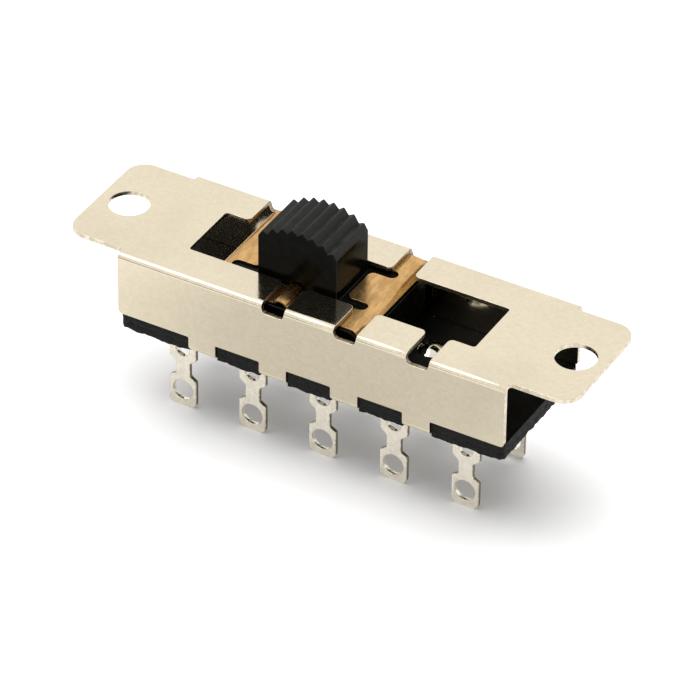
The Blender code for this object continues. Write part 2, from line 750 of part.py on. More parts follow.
def bridge_path():
    """Middle line of a bridge: turned-up ends and a foot over each of the two contacts that it joins."""
    low = BRIDGE_FOOT + BRIDGE_SHEET / 2
    level = low + BRIDGE_FOOT_DROP
    end = BRIDGE_LENGTH / 2 - BRIDGE_SHEET / 2
    foot = PITCH / 2
    flat, slope = BRIDGE_FOOT_LENGTH / 2, BRIDGE_FOOT_LENGTH / 2 + BRIDGE_FOOT_DROP
    half = [
        (foot - slope, level, BRIDGE_FOLD),
        (foot - flat, low, BRIDGE_FOLD),
        (foot + flat, low, BRIDGE_FOLD),
        (foot + slope, level, BRIDGE_FOLD),
        (end, level, BRIDGE_FOLD),
        (end, level + BRIDGE_LIP),
    ]
    return rounded(mirror_image(half) + half, closed=False)


def coil(name, collection):
    """Compression spring between a bridge and the end of its bore."""
    spring = bpy.data.curves.new(name, "CURVE")
    spring.dimensions = "3D"
    spring.bevel_depth = COIL_WIRE / 2
    spring.bevel_resolution = 2
    spring.use_fill_caps = True
    foot = BRIDGE_TOP + SEAT_GAP + COIL_WIRE / 2
    rise = COIL_SEAT - SEAT_GAP - COIL_WIRE / 2 - foot
    radius = (COIL_DIAMETER - COIL_WIRE) / 2
    count = COIL_TURNS * COIL_STEPS
    spline = spring.splines.new("POLY")
    spline.points.add(count)
    for step, point in enumerate(spline.points):
        angle = 2 * pi * step / COIL_STEPS
        point.co = (radius * cos(angle), radius * sin(angle), foot + rise * step / count, 1)
    return add_object(name, spring, collection)


def build_bridges(collection):
    """Two bridges, each pressed down by its spring."""
    silver = silver_plate()
    wire = spring_wire()
    reach = BRIDGE_WIDTH / 2
    made = []
    for side, row in ((-1, "front"), (1, "back")):
        name = f"contact_bridge_{row}"
        bridge = folded_strip(name, bridge_path(), FRONT, -reach, reach, BRIDGE_SHEET, collection)
        spring = coil(f"contact_spring_{row}", collection)
        for piece, finish in ((bridge, silver), (spring, wire)):
            piece.location.y = side * ROW_OFFSET
            made.append(dressed(piece, finish))
    return made


def build_switch():
    """Build the whole switch, with the moving pieces hung on one empty at the slider's place."""
    parts = new_collection("slide_switch")
    tools = new_collection("tools")
    build_frame(parts, tools)
    build_board(parts, tools)
    build_contacts(parts, tools)
    carriage = add_object("carriage", None, parts)
    carriage.location.x = SLIDER_PLACE
    for piece in (build_slider(parts, tools), build_spring_plate(parts, tools), *build_bridges(parts)):
        attach(piece, carriage)


clear_scene()
build_switch()
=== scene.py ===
"""Looks of an open-frame slide switch.

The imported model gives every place. Each sub-assembly is a class that shapes its own pieces finely,
dresses them and seats them on the body that carries them: the folded frame, the laminate board, the
contacts, the slider, the spring plate and the bridges. Sizes are in metres; X runs along the
travel, -Y is the front row and +Z is up.
"""

import logging
from collections.abc import Iterator
from contextlib import contextmanager
from dataclasses import dataclass, field
from enum import Enum, IntEnum
from math import acos, asin, atan2, ceil, cos, pi, radians, sin, sqrt, tan

import bmesh
import bpy
from mathutils import Matrix, Vector, noise

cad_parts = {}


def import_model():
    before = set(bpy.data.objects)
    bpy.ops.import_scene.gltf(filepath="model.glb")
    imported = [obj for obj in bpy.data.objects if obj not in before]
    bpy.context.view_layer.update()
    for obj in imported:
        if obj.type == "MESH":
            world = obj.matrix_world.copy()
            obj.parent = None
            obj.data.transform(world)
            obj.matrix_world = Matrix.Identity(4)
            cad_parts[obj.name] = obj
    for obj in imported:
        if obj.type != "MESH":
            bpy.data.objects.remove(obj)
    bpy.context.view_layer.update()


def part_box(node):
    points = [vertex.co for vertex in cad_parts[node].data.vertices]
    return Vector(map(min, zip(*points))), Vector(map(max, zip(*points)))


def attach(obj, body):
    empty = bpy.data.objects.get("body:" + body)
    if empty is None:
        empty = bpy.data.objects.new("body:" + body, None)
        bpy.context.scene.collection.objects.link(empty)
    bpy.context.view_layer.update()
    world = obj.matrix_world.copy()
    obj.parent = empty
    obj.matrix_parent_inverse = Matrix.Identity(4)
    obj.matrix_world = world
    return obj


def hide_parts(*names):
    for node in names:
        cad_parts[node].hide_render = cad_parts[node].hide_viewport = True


LOG = logging.getLogger("slide_switch")

MM = 0.001
WELD = 0.001 * MM
ARC_ERROR = 0.0008 * MM
FILL_SCALE = 1000.0
OVERCUT = 1.0 * MM
FLAT_ANGLE = radians(0.2)
RIM_ANGLE = radians(38)
BLUNT_RIM_ANGLE = radians(50)
RIB_RIM_ANGLE = radians(64)
RIM_STEPS = 2
FACE_WEIGHT = 100
FULL_ROUND = 0.999

Color = tuple[float, float, float]
Size = tuple[float, float, float]
Corner = tuple[float, ...]
Line = list[Vector]

BLACK: Color = (0.0, 0.0, 0.0)
WHITE: Color = (1.0, 1.0, 1.0)


class Plane(Enum):
    """Drawing planes: each takes an outline's (u, v) and its depth to X, Y and Z."""

    PLAN = ((1, 0, 0), (0, 1, 0), (0, 0, 1))
    FRONT = ((1, 0, 0), (0, 0, 1), (0, 1, 0))
    SECTION = ((0, 0, 1), (1, 0, 0), (0, 1, 0))

    @property
    def matrix(self) -> Matrix:
        """Matrix that stands a drawing in its plane."""
        return Matrix(self.value).to_4x4()


class Operation(Enum):
    """What a tool does to a solid."""

    CUT = "DIFFERENCE"
    KEEP = "INTERSECT"
    JOIN = "UNION"


class Body(Enum):
    """Bodies that pieces ride on."""

    BASE = "base"
    CARRIAGE = "carriage"


class Layer(IntEnum):
    """Finish slots of a piece: its faces, what was sheared or cut, and its rounded rims."""

    FACE = 0
    SHEAR = 1
    RIM = 2


class Slot(Enum):
    """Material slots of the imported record."""

    NICKEL = "nickel_plate"
    LAMINATE = "black_laminate"
    NYLON = "black_nylon"
    BRONZE = "phosphor_bronze"
    SILVER = "silver_plate"
    WIRE = "spring_wire"


# ---------------------------------------------------------------- outlines


def arc_steps(turn: float, radius: float) -> int:
    """Chords that keep an arc of this turn and radius within ARC_ERROR of its circle."""
    return ceil(turn / (2 * acos(1 - ARC_ERROR / radius)))


def arc_points(before: Vector, here: Vector, after: Vector, radius: float) -> Line:
    """Round the corner at `here`.

    Args:
        before: the point before the corner.
        here: the corner.
        after: the point after it.
        radius: radius of the arc.

    Returns:
        The points of the arc, in order.
    """
    to_before = (before - here).normalized()
    to_after = (after - here).normalized()
    half_angle = to_before.angle(to_after) / 2
    centre = here + (to_before + to_after).normalized() * radius / sin(half_angle)
    start = here + to_before * radius / tan(half_angle) - centre
    end = here + to_after * radius / tan(half_angle) - centre
    turn = atan2(start.x * end.y - start.y * end.x, start.dot(end))
    steps = arc_steps(abs(turn), radius)
    return [centre + Matrix.Rotation(turn * step / steps, 2) @ start for step in range(steps + 1)]


def rounded(corners: list[Corner], closed: bool = True) -> Line:
    """Draw a line through corners.

    Args:
        corners: (u, v) or (u, v, radius) corners.
        closed: whether the line ends where it starts.

    Returns:
        The line's points, with an arc at each corner that has a radius.
    """
    points: Line = []
    places = [Vector(corner[:2]) for corner in corners]
    for index, corner in enumerate(corners):
        inner = closed or 0 < index < len(corners) - 1
        if len(corner) == 3 and corner[2] and inner:
            after = places[(index + 1) % len(places)]
            points += arc_points(places[index - 1], places[index], after, corner[2])
        else:
            points.append(places[index])
    kept = points[:1]
    for point in points[1:]:
        if (point - kept[-1]).length > WELD:
            kept.append(point)
    if closed and (kept[0] - kept[-1]).length < WELD:
        kept.pop()
    return kept


def rectangle(left: float, right: float, low: float, high: float, radius: float = 0.0) -> Line:
    """Rectangle with equal round corners."""
    corners = ((left, low), (right, low), (right, high), (left, high))
    return rounded([(*corner, radius) for corner in corners])


def oval(u: float, v: float, width: float, height: float) -> Line:
    """Draw an ellipse.

    Args:
        u: place of its middle along the first axis.
        v: place of its middle along the second.
        width: its size along the first axis.
        height: its size along the second.

    Returns:
        The outline's points.
    """
    steps = arc_steps(2 * pi, width / 2)
    angles = [2 * pi * step / steps for step in range(steps)]
    return [Vector((u + width / 2 * cos(angle), v + height / 2 * sin(angle))) for angle in angles]


def mirror_image(corners: list[Corner]) -> list[Corner]:
    """Corners on the other side of the middle, in the opposite order."""
    return [(-corner[0], *corner[1:]) for corner in reversed(corners)]


def divided(outline: Line, pitch: float) -> Line:
    """Divide the sides of an outline.

    Args:
        outline: closed outline.
        pitch: about the distance between its new points.

    Returns:
        The outline, with points along its sides.
    """
    points: Line = []
    for here, after in zip(outline, outline[1:] + outline[:1]):
        steps = max(1, round((after - here).length / pitch))
        points += [here.lerp(after, step / steps) for step in range(steps)]
    return points


# ---------------------------------------------------------------- solids


def placed(name: str, data: bpy.types.ID) -> bpy.types.Object:
    """Put an object in the scene.

    Args:
        name: name of the object.
        data: mesh, curve, lamp or camera data that it holds.

    Returns:
        The object.
    """
    obj = bpy.data.objects.new(name, data)
    bpy.context.scene.collection.objects.link(obj)
    return obj


def evaluated_mesh(obj: bpy.types.Object) -> bpy.types.Mesh:
    """Read an object's mesh as its modifiers or its curve settings leave it.

    Args:
        obj: the object.

    Returns:
        A new mesh.
    """
    bpy.context.view_layer.update()
    graph = bpy.context.evaluated_depsgraph_get()
    return bpy.data.meshes.new_from_object(obj.evaluated_get(graph))


def mesh_of_curve(curve: bpy.types.Curve) -> bpy.types.Mesh:
    """Make a mesh of a curve.

    Args:
        curve: the curve, with its settings, which is used up.

    Returns:
        The mesh.
    """
    drawing = placed(curve.name, curve)
    mesh = evaluated_mesh(drawing)
    bpy.data.objects.remove(drawing)
    bpy.data.curves.remove(curve)
    return mesh


@contextmanager
def editing(mesh: bpy.types.Mesh) -> Iterator[bmesh.types.BMesh]:
    """Open a mesh for editing, and write it back at the end.

    Args:
        mesh: the mesh.

    Yields:
        The mesh, open for editing.
    """
    work = bmesh.new()
    work.from_mesh(mesh)
    yield work
    work.to_mesh(mesh)
    work.free()


def blank_material(number: int) -> bpy.types.Material:
    """Stand-in for one layer until the piece is dressed."""
    name = f"layer_{number}"
    return bpy.data.materials.get(name) or bpy.data.materials.new(name)


class Solid:
    """A closed mesh that tools shape, with a finish slot for each layer."""

    def __init__(self, name: str, mesh: bpy.types.Mesh) -> None:
        """Put a mesh in the scene under the name of the piece."""
        self.obj = placed(name, mesh)
        self.clean()

    @classmethod
    def prism(
        cls, name: str, outlines: list[Line], plane: Plane, low: float, high: float
    ) -> "Solid":
        """Fill outlines and extrude them across their plane.

        Args:
            name: name of the solid.
            outlines: closed outlines; one inside another is a hole.
            plane: the plane that they are drawn in.
            low: where the solid starts across that plane.
            high: where it ends.

        Returns:
            The solid.
        """
        curve = bpy.data.curves.new(name, "CURVE")
        curve.dimensions = "2D"
        curve.fill_mode = "BOTH"
        curve.extrude = (high - low) / 2 * FILL_SCALE
        for outline in outlines:
            spline = curve.splines.new("POLY")
            spline.points.add(len(outline) - 1)
            for point, place in zip(spline.points, outline):
                point.co = (*(place * FILL_SCALE), 0, 1)
            spline.use_cyclic_u = True
        mesh = mesh_of_curve(curve)
        middle = Matrix.Translation((0, 0, (low + high) / 2))
        mesh.transform(plane.matrix @ middle @ Matrix.Scale(1 / FILL_SCALE, 4))
        return cls(name, mesh)

    @classmethod
    def strip(
        cls, name: str, path: Line, plane: Plane, low: float, high: float, thickness: float
    ) -> "Solid":
        """Fold a sheet strip along a path.

        Args:
            name: name of the solid.
            path: middle line of the sheet.
            plane: the plane of the path.
            low: where the strip starts across that plane.
            high: where it ends.
            thickness: thickness of the sheet.

        Returns:
            The solid.
        """
        mesh = bpy.data.meshes.new(name)
        with editing(mesh) as work:
            near = [work.verts.new((*place, low)) for place in path]
            edges = [work.edges.new(pair) for pair in zip(near, near[1:])]
            swept = bmesh.ops.extrude_edge_only(work, edges=edges)["geom"]
            far = [item for item in swept if isinstance(item, bmesh.types.BMVert)]
            bmesh.ops.translate(work, verts=far, vec=(0, 0, high - low))
            bmesh.ops.transform(work, matrix=plane.matrix, verts=work.verts)
        strip = cls(name, mesh)
        solidify = strip.obj.modifiers.new("sheet", "SOLIDIFY")
        solidify.thickness = thickness
        solidify.offset = 0
        solidify.use_even_offset = True
        return strip.bake()

    @classmethod
    def turned(cls, name: str, profile: list[tuple[float, float]], steps: int) -> "Solid":
        """Turn an (r, z) profile about Z.

        Args:
            name: name of the solid.
            profile: radius and height of each point, top to bottom.
            steps: sides of the turned body.

        Returns:
            The solid.
        """
        mesh = bpy.data.meshes.new(name)
        with editing(mesh) as work:
            points = [work.verts.new((radius, 0, level)) for radius, level in profile]
            for pair in zip(points, points[1:]):
                work.edges.new(pair)
        body = cls(name, mesh)
        screw = body.obj.modifiers.new("turn", "SCREW")
        screw.steps = steps
        screw.render_steps = steps
        screw.use_merge_vertices = True
        screw.merge_threshold = WELD
        return body.bake()

    @classmethod
    def stack(cls, name: str, rings: list[list[Vector]]) -> "Solid":
        """Skin over closed rings that lie one above the other.

        Args:
            name: name of the solid.
            rings: rings of as many points each, from the lowest to the highest.

        Returns:
            The solid, with its sides sheared and both ends as faces.
        """
        mesh = bpy.data.meshes.new(name)
        with editing(mesh) as work:
            lines = [[work.verts.new(point) for point in ring] for ring in rings]
            for lower, upper in zip(lines, lines[1:]):
                for here, after in zip(range(len(lower)), [*range(1, len(lower)), 0]):
                    side = work.faces.new((lower[here], lower[after], upper[after], upper[here]))
                    side.material_index = int(Layer.SHEAR)
            for line in (lines[0], lines[-1]):
                work.faces.new(line).material_index = int(Layer.FACE)
        return cls(name, mesh)

    @property
    def mesh(self) -> bpy.types.Mesh:
        """Mesh of the solid as it is now."""
        return self.obj.data

    def clean(self) -> "Solid":
        """Weld loose points and turn every face outwards.

        Returns:
            The solid.
        """
        with editing(self.mesh) as work:
            bmesh.ops.remove_doubles(work, verts=work.verts, dist=WELD)
            bmesh.ops.recalc_face_normals(work, faces=work.faces)
        return self

    def bake(self) -> "Solid":
        """Apply the modifiers to the mesh.

        Returns:
            The solid.
        """
        mesh = evaluated_mesh(self.obj)
        self.obj.modifiers.clear()
        self.obj.data = mesh
        return self.clean()

    def move(self, x: float, y: float = 0.0) -> "Solid":
        """Shift the mesh on the plan."""
        self.mesh.transform(Matrix.Translation((x, y, 0)))
        return self

    def paint(self, layer: Layer) -> "Solid":
        """Give every face one layer."""
        self.mesh.polygons.foreach_set("material_index", [int(layer)] * len(self.mesh.polygons))
        return self

    def combine(self, tool: "Solid", operation: Operation, layer: Layer = Layer.SHEAR) -> "Solid":
        """Shape the solid with a tool, which is used up.

        Args:
            tool: the other solid.
            operation: what it does.
            layer: layer of the faces that a tool leaves where it cuts or trims.

        Returns:
            The shaped solid.
        """
        if operation is not Operation.JOIN:
            tool.paint(layer)
        for solid in (self, tool):
            while len(solid.mesh.materials) < len(Layer):
                solid.mesh.materials.append(blank_material(len(solid.mesh.materials)))
        boolean = self.obj.modifiers.new("tool", "BOOLEAN")
        boolean.operation = operation.value
        boolean.object = tool.obj
        self.bake()
        bpy.data.objects.remove(tool.obj)
        return self

    def cut(
        self,
        outlines: list[Line],
        plane: Plane,
        low: float,
        high: float,
        layer: Layer = Layer.SHEAR,
    ) -> "Solid":
        """Cut closed outlines, drawn in a plane, out of the solid from low to high across it."""
        return self.combine(Solid.prism("tool", outlines, plane, low, high), Operation.CUT, layer)

    def trim(
        self, outline: Line, plane: Plane, low: float, high: float, layer: Layer = Layer.SHEAR
    ) -> "Solid":
        """Trim the solid to a closed outline in a plane, and to low and high across it."""
        tool = Solid.prism("tool", [outline], plane, low, high)
        return self.combine(tool, Operation.KEEP, layer)

    def soften(self, width: float, angle: float = RIM_ANGLE) -> "Solid":
        """Join the flat faces, then round the sharp edges.

        Args:
            width: width of the rounding.
            angle: edges that turn by more than this are rounded.

        Returns:
            The solid.
        """
        with editing(self.mesh) as work:
            bmesh.ops.dissolve_limit(
                work,
                angle_limit=FLAT_ANGLE,
                verts=work.verts,
                edges=work.edges,
                delimit={"MATERIAL"},
            )
        bevel = self.obj.modifiers.new("rim", "BEVEL")
        bevel.width = width
        bevel.segments = RIM_STEPS
        bevel.limit_method = "ANGLE"
        bevel.angle_limit = angle
        bevel.use_clamp_overlap = False
        bevel.miter_outer = "MITER_ARC"
        bevel.material = int(Layer.RIM)
        return self.bake()

    def dress(self, finish: "Finish") -> "Solid":
        """Give the layers their materials and shade the solid smooth.

        Args:
            finish: surfaces of the layers.

        Returns:
            The solid.
        """
        layers = [0] * len(self.mesh.polygons)
        self.mesh.polygons.foreach_get("material_index", layers)
        self.mesh.materials.clear()
        for made in finish.materials():
            self.mesh.materials.append(made)
        self.mesh.polygons.foreach_set("material_index", layers)
        self.mesh.shade_smooth()
        weighted = self.obj.modifiers.new("normals", "WEIGHTED_NORMAL")
        weighted.weight = FACE_WEIGHT
        weighted.keep_sharp = True
        return self


# ---------------------------------------------------------------- finishes


class Texture(Enum):
    """Octaves of a noise, and the share that each keeps of the one before."""

    CLOUDY = (4.0, 0.6)
    SANDY = (3.0, 0.65)
    FINE = (3.0, 0.6)
    FIBROUS = (3.0, 0.5)
    BRUSHED = (2.0, 0.6)
    SMOOTH = (2.0, 0.5)


class Band(Enum):
    """Values of a noise or a lean between which a feature comes in."""

    WHOLE = (0.0, 1.0)
    CLOUD = (0.36, 0.64)
    GRAIN = (0.38, 0.66)
    GRAIN_ROUGH = (0.35, 0.65)
    STROKE = (0.55, 0.72)
    DRIFT = (0.4, 0.62)
    PATCH = (0.5, 0.62)
    LEAN = (0.08, 0.4)
    RIPPLE = (0.42, 0.62)
    FLECK = (0.58, 0.72)
    SAND = (0.4, 0.7)


class NodeSheet:
    """Node tree of one material, with short calls for the nodes that the finishes use."""

    def __init__(self, name: str) -> None:
        """Start a material with a Principled shader and object coordinates.

        Args:
            name: name of the material.
        """
        self.material = bpy.data.materials.new(name)
        self.material.use_nodes = True
        self.tree = self.material.node_tree
        self.shader = self.tree.nodes["Principled BSDF"]
        self.place = self.add("ShaderNodeTexCoord").outputs["Object"]

    def add(self, kind: str, **settings: object) -> bpy.types.Node:
        """Add a node and set its properties.

        Args:
            kind: type of the node.
            **settings: its properties by name.

        Returns:
            The node.
        """
        node = self.tree.nodes.new(kind)
        for key, value in settings.items():
            setattr(node, key, value)
        return node

    def plug(self, socket: bpy.types.NodeSocket, value: object) -> None:
        """Link a socket to another, or set its value.

        Args:
            socket: the input socket.
            value: output socket or value to give it.
        """
        if isinstance(value, bpy.types.NodeSocket):
            self.tree.links.new(value, socket)
        else:
            socket.default_value = value

    def scaled(self, size: Size | float) -> bpy.types.NodeSocket:
        """Divide the object coordinates by a feature size.

        Args:
            size: feature size, or one along each axis.

        Returns:
            The divided coordinates.
        """
        sizes = size if isinstance(size, tuple) else (size,) * 3
        mapping = self.add("ShaderNodeMapping")
        self.plug(mapping.inputs["Vector"], self.place)
        mapping.inputs["Scale"].default_value = [1 / length for length in sizes]
        return mapping.outputs["Vector"]

    def grain(
        self, size: Size | float, texture: Texture = Texture.SMOOTH
    ) -> bpy.types.NodeSocket:
        """Noise.

        Args:
            size: feature size, or one along each axis.
            texture: how fine its detail is.

        Returns:
            The noise, about 0.5 in the middle.
        """
        node = self.add("ShaderNodeTexNoise")
        self.plug(node.inputs["Vector"], self.scaled(size))
        node.inputs["Scale"].default_value = 1.0
        node.inputs["Detail"].default_value, node.inputs["Roughness"].default_value = texture.value
        return node.outputs["Fac"]

    def cells(self, size: float) -> bpy.types.NodeSocket:
        """Scatter points.

        Args:
            size: about the distance between them.

        Returns:
            The distance to the nearest point, in feature sizes.
        """
        node = self.add("ShaderNodeTexVoronoi")
        self.plug(node.inputs["Vector"], self.scaled(size))
        node.inputs["Scale"].default_value = 1.0
        return node.outputs["Distance"]

    def spread(
        self,
        source: object,
        band: Band | tuple[float, float],
        to_low: float = 0.0,
        to_high: float = 1.0,
    ) -> bpy.types.NodeSocket:
        """Map a band of values to another, smoothly and without overshoot.

        Args:
            source: the value.
            band: the band that it is in.
            to_low: what the band's low end becomes.
            to_high: what its high end becomes.

        Returns:
            The mapped value.
        """
        node = self.add("ShaderNodeMapRange", interpolation_type="SMOOTHSTEP")
        self.plug(node.inputs["Value"], source)
        ends = (*(band.value if isinstance(band, Band) else band), to_low, to_high)
        for key, value in zip(("From Min", "From Max", "To Min", "To Max"), ends):
            node.inputs[key].default_value = value
        return node.outputs["Result"]

    def calc(self, operation: str, first: object, second: object) -> bpy.types.NodeSocket:
        """Calculate with two values.

        Args:
            operation: name of the operation.
            first: the first value.
            second: the second value.

        Returns:
            The result.
        """
        node = self.add("ShaderNodeMath", operation=operation)
        self.plug(node.inputs[0], first)
        self.plug(node.inputs[1], second)
        return node.outputs[0]

    def plus(self, first: object, second: object) -> bpy.types.NodeSocket:
        """Add two values."""
        return self.calc("ADD", first, second)

    def minus(self, first: object, second: object) -> bpy.types.NodeSocket:
        """Take the second value from the first."""
        return self.calc("SUBTRACT", first, second)

    def times(self, first: object, second: object) -> bpy.types.NodeSocket:
        """Multiply two values."""
        return self.calc("MULTIPLY", first, second)

    def blend(self, share: object, first: object, second: object) -> bpy.types.NodeSocket:
        """Mix two colours.

        Args:
            share: share of the second colour.
            first: colour at 0.
            second: colour at 1.

        Returns:
            The mixed colour.
        """
        node = self.add("ShaderNodeMix", data_type="RGBA", blend_type="MIX")
        self.plug(node.inputs[0], share)
        for socket, value in ((node.inputs[6], first), (node.inputs[7], second)):
            self.plug(socket, (*value, 1.0) if isinstance(value, tuple) else value)
        return node.outputs[2]

    def bump(self, height: object, depth: float, normal: object = None) -> bpy.types.NodeSocket:
        """Relief from a height.

        Args:
            height: value from 0 to 1.
            depth: height that 1 stands for.
            normal: relief to add to, if there is one.

        Returns:
            The bumped normal.
        """
        node = self.add("ShaderNodeBump")
        node.inputs["Strength"].default_value = 1.0
        node.inputs["Distance"].default_value = depth
        self.plug(node.inputs["Height"], height)
        if normal is not None:
            self.plug(node.inputs["Normal"], normal)
        return node.outputs["Normal"]

    def finish(self, color: object, roughness: object, normal: object) -> bpy.types.Material:
        """Plug the last values into the shader.

        Args:
            color: colour.
            roughness: roughness.
            normal: normal with the relief.

        Returns:
            The finished material.
        """
        self.plug(self.shader.inputs["Base Color"], color)
        self.plug(self.shader.inputs["Roughness"], roughness)
        self.plug(self.shader.inputs["Normal"], normal)
        return self.material


class Surface:
    """A surface, whose material is built when it is first asked for."""

    name: str

    def build(self, sheet: NodeSheet) -> bpy.types.Material:
        """Draw the surface on its node sheet."""
        raise NotImplementedError

    def material(self) -> bpy.types.Material:
        """Material of the surface."""
        return bpy.data.materials.get(self.name) or self.build(NodeSheet(self.name))


@dataclass(frozen=True)
class MetalSurface(Surface):
    """One surface of rolled, plated or cut metal.

    Drifts are slow changes of tone, clouds its mottling, grains the matt texture, strokes the fine
    scratches along one axis, specks small dark pits, and the fold the pitch of ripples where the
    sheet is bent.
    """

    name: str
    color: Color
    cloud_color: Color
    speck_color: Color = (0.20, 0.17, 0.13)
    dark_share: float = 0.55
    drift: float = 9.0 * MM
    drift_shade: float = 0.0
    cloud: Size | float = 1.6 * MM
    cloud_share: float = 0.5
    grain: float = 0.09 * MM
    grain_depth: float = 0.0006 * MM
    grain_shade: float = 0.12
    grain_rough: float = 0.0
    stroke: Size = (2.5 * MM, 0.03 * MM, 0.03 * MM)
    stroke_depth: float = 0.0004 * MM
    stroke_shade: float = 0.1
    stroke_rough: float = 0.06
    roughness: tuple[float, float] = (0.22, 0.32)
    speck: float = 0.5 * MM
    speck_size: float = 0.0
    speck_floor: float = 0.5
    speck_patch: float = 2.3
    speck_rough: float = 0.25
    fold: float = 0.1 * MM
    fold_stretch: float = 4.0
    fold_depth: float = 0.0
    fold_shade: float = 0.3

    def build(self, sheet: NodeSheet) -> bpy.types.Material:
        """Draw the surface on its node sheet.

        Args:
            sheet: node sheet of the material.

        Returns:
            The material.
        """
        sheet.shader.inputs["Metallic"].default_value = 1.0
        dark = tuple(channel * self.dark_share for channel in self.color)
        clouds = sheet.spread(sheet.grain(self.cloud, Texture.CLOUDY), Band.CLOUD)
        grains = sheet.grain(self.grain, Texture.FINE)
        strokes = sheet.spread(sheet.grain(self.stroke, Texture.BRUSHED), Band.STROKE)
        color = sheet.blend(sheet.times(clouds, self.cloud_share), self.color, self.cloud_color)
        color = sheet.blend(sheet.spread(grains, Band.GRAIN, 0.0, self.grain_shade), color, dark)
        color = sheet.blend(sheet.times(strokes, self.stroke_shade), color, dark)
        if self.drift_shade:
            drifts = sheet.spread(sheet.grain(self.drift), Band.DRIFT, 0.0, self.drift_shade)
            color = sheet.blend(drifts, color, dark)
        rough = sheet.spread(clouds, Band.WHOLE, *self.roughness)
        rough = sheet.plus(rough, sheet.times(strokes, self.stroke_rough))
        if self.grain_rough:
            roughened = sheet.spread(grains, Band.GRAIN_ROUGH, 0.0, self.grain_rough)
            rough = sheet.plus(rough, roughened)
        if self.speck_size:
            pits = self.pits(sheet)
            color = sheet.blend(pits, color, self.speck_color)
            rough = sheet.plus(rough, sheet.times(pits, self.speck_rough))
        relief = sheet.bump(grains, self.grain_depth)
        relief = sheet.bump(strokes, -self.stroke_depth, relief)
        if self.fold_depth:
            marks = self.fold_marks(sheet)
            shade = sheet.spread(marks, Band.RIPPLE, 0.0, self.fold_shade)
            color = sheet.blend(shade, color, dark)
            relief = sheet.bump(marks, self.fold_depth, relief)
        return sheet.finish(color, rough, relief)

    def pits(self, sheet: NodeSheet) -> bpy.types.NodeSocket:
        """Scatter small pits, in patches.

        Args:
            sheet: node sheet of the material.

        Returns:
            Where the pits are, from 0 to 1.
        """
        edge = (self.speck_size * self.speck_floor, self.speck_size)
        pits = sheet.spread(sheet.cells(self.speck), edge, 1.0, 0.0)
        patches = sheet.spread(sheet.grain(self.speck * self.speck_patch), Band.PATCH)
        return sheet.times(pits, patches)

    def fold_marks(self, sheet: NodeSheet) -> bpy.types.NodeSocket:
        """Draw short ripples where the surface leans between flat and upright.

        Args:
            sheet: node sheet of the material.

        Returns:
            Height of the ripples, from 0 to 1.
        """
        split = sheet.add("ShaderNodeSeparateXYZ")
        sheet.plug(split.inputs[0], sheet.add("ShaderNodeTexCoord").outputs["Normal"])
        lean = sheet.calc("ABSOLUTE", sheet.times(split.outputs["Y"], split.outputs["Z"]), 0.0)
        length = self.fold_stretch * self.fold
        ripples = sheet.grain((self.fold, length, length), Texture.BRUSHED)
        return sheet.times(sheet.spread(lean, Band.LEAN), ripples)


@dataclass(frozen=True)
class PlasticSurface(Surface):
    """One surface of moulded or pressed plastic, with clouds, a grain and pale flecks."""

    name: str
    color: Color
    cloud_color: Color
    cloud: Size | float = 1.2 * MM
    grain: Size | float = 0.06 * MM
    grain_depth: float = 0.002 * MM
    grain_rough: float = 0.06
    fleck_color: Color = (0.10, 0.10, 0.09)
    fleck_share: float = 0.15
    roughness: tuple[float, float] = (0.2, 0.35)
    gloss: float = 0.5

    def build(self, sheet: NodeSheet) -> bpy.types.Material:
        """Draw the surface on its node sheet.

        Args:
            sheet: node sheet of the material.

        Returns:
            The material.
        """
        sheet.shader.inputs["Specular IOR Level"].default_value = self.gloss
        clouds = sheet.spread(sheet.grain(self.cloud, Texture.CLOUDY), Band.CLOUD)
        grains = sheet.grain(self.grain, Texture.SANDY)
        flecks = sheet.spread(grains, Band.FLECK, 0.0, self.fleck_share)
        color = sheet.blend(clouds, self.color, self.cloud_color)
        color = sheet.blend(flecks, color, self.fleck_color)
        rough = sheet.spread(clouds, Band.WHOLE, *self.roughness)
        rough = sheet.plus(rough, sheet.spread(grains, Band.SAND, 0.0, self.grain_rough))
        return sheet.finish(color, rough, sheet.bump(grains, self.grain_depth))


@dataclass(frozen=True)
class Finish:
    """Surfaces of a piece: faces, sheared faces and rims."""

    face: Surface
    shear: Surface
    rim: Surface

    @classmethod
    def all_over(cls, surface: Surface) -> "Finish":
        """The same surface on every layer."""
        return cls(surface, surface, surface)

    def materials(self) -> list[bpy.types.Material]:
        """Materials in the order of the layers."""
        return [surface.material() for surface in (self.face, self.shear, self.rim)]


NICKEL = Finish(
    MetalSurface(
        "nickel_face",
        color=(0.885, 0.785, 0.60),
        cloud_color=(0.80, 0.70, 0.525),
        drift_shade=0.12,
        cloud=(0.42 * MM, 0.36 * MM, 0.36 * MM),
        grain=0.055 * MM,
        grain_depth=0.001 * MM,
        grain_shade=0.16,
        grain_rough=0.04,
        stroke_depth=0.0002 * MM,
        stroke_shade=0.05,
        roughness=(0.08, 0.11),
        speck_size=0.05,
        fold=0.11 * MM,
        fold_depth=0.006 * MM,
    ),
    MetalSurface(
        "nickel_shear",
        color=(0.50, 0.42, 0.30),
        cloud_color=(0.16, 0.13, 0.09),
        cloud=(0.22 * MM, 0.22 * MM, 0.12 * MM),
        cloud_share=0.9,
        stroke=(0.03 * MM, 0.03 * MM, 0.6 * MM),
        stroke_depth=0.002 * MM,
        stroke_shade=0.3,
        roughness=(0.28, 0.42),
    ),
    MetalSurface(
        "nickel_rim",
        color=(0.92, 0.83, 0.66),
        cloud_color=(0.50, 0.42, 0.30),
        cloud=0.4 * MM,
        cloud_share=0.6,
        roughness=(0.2, 0.32),
    ),
)
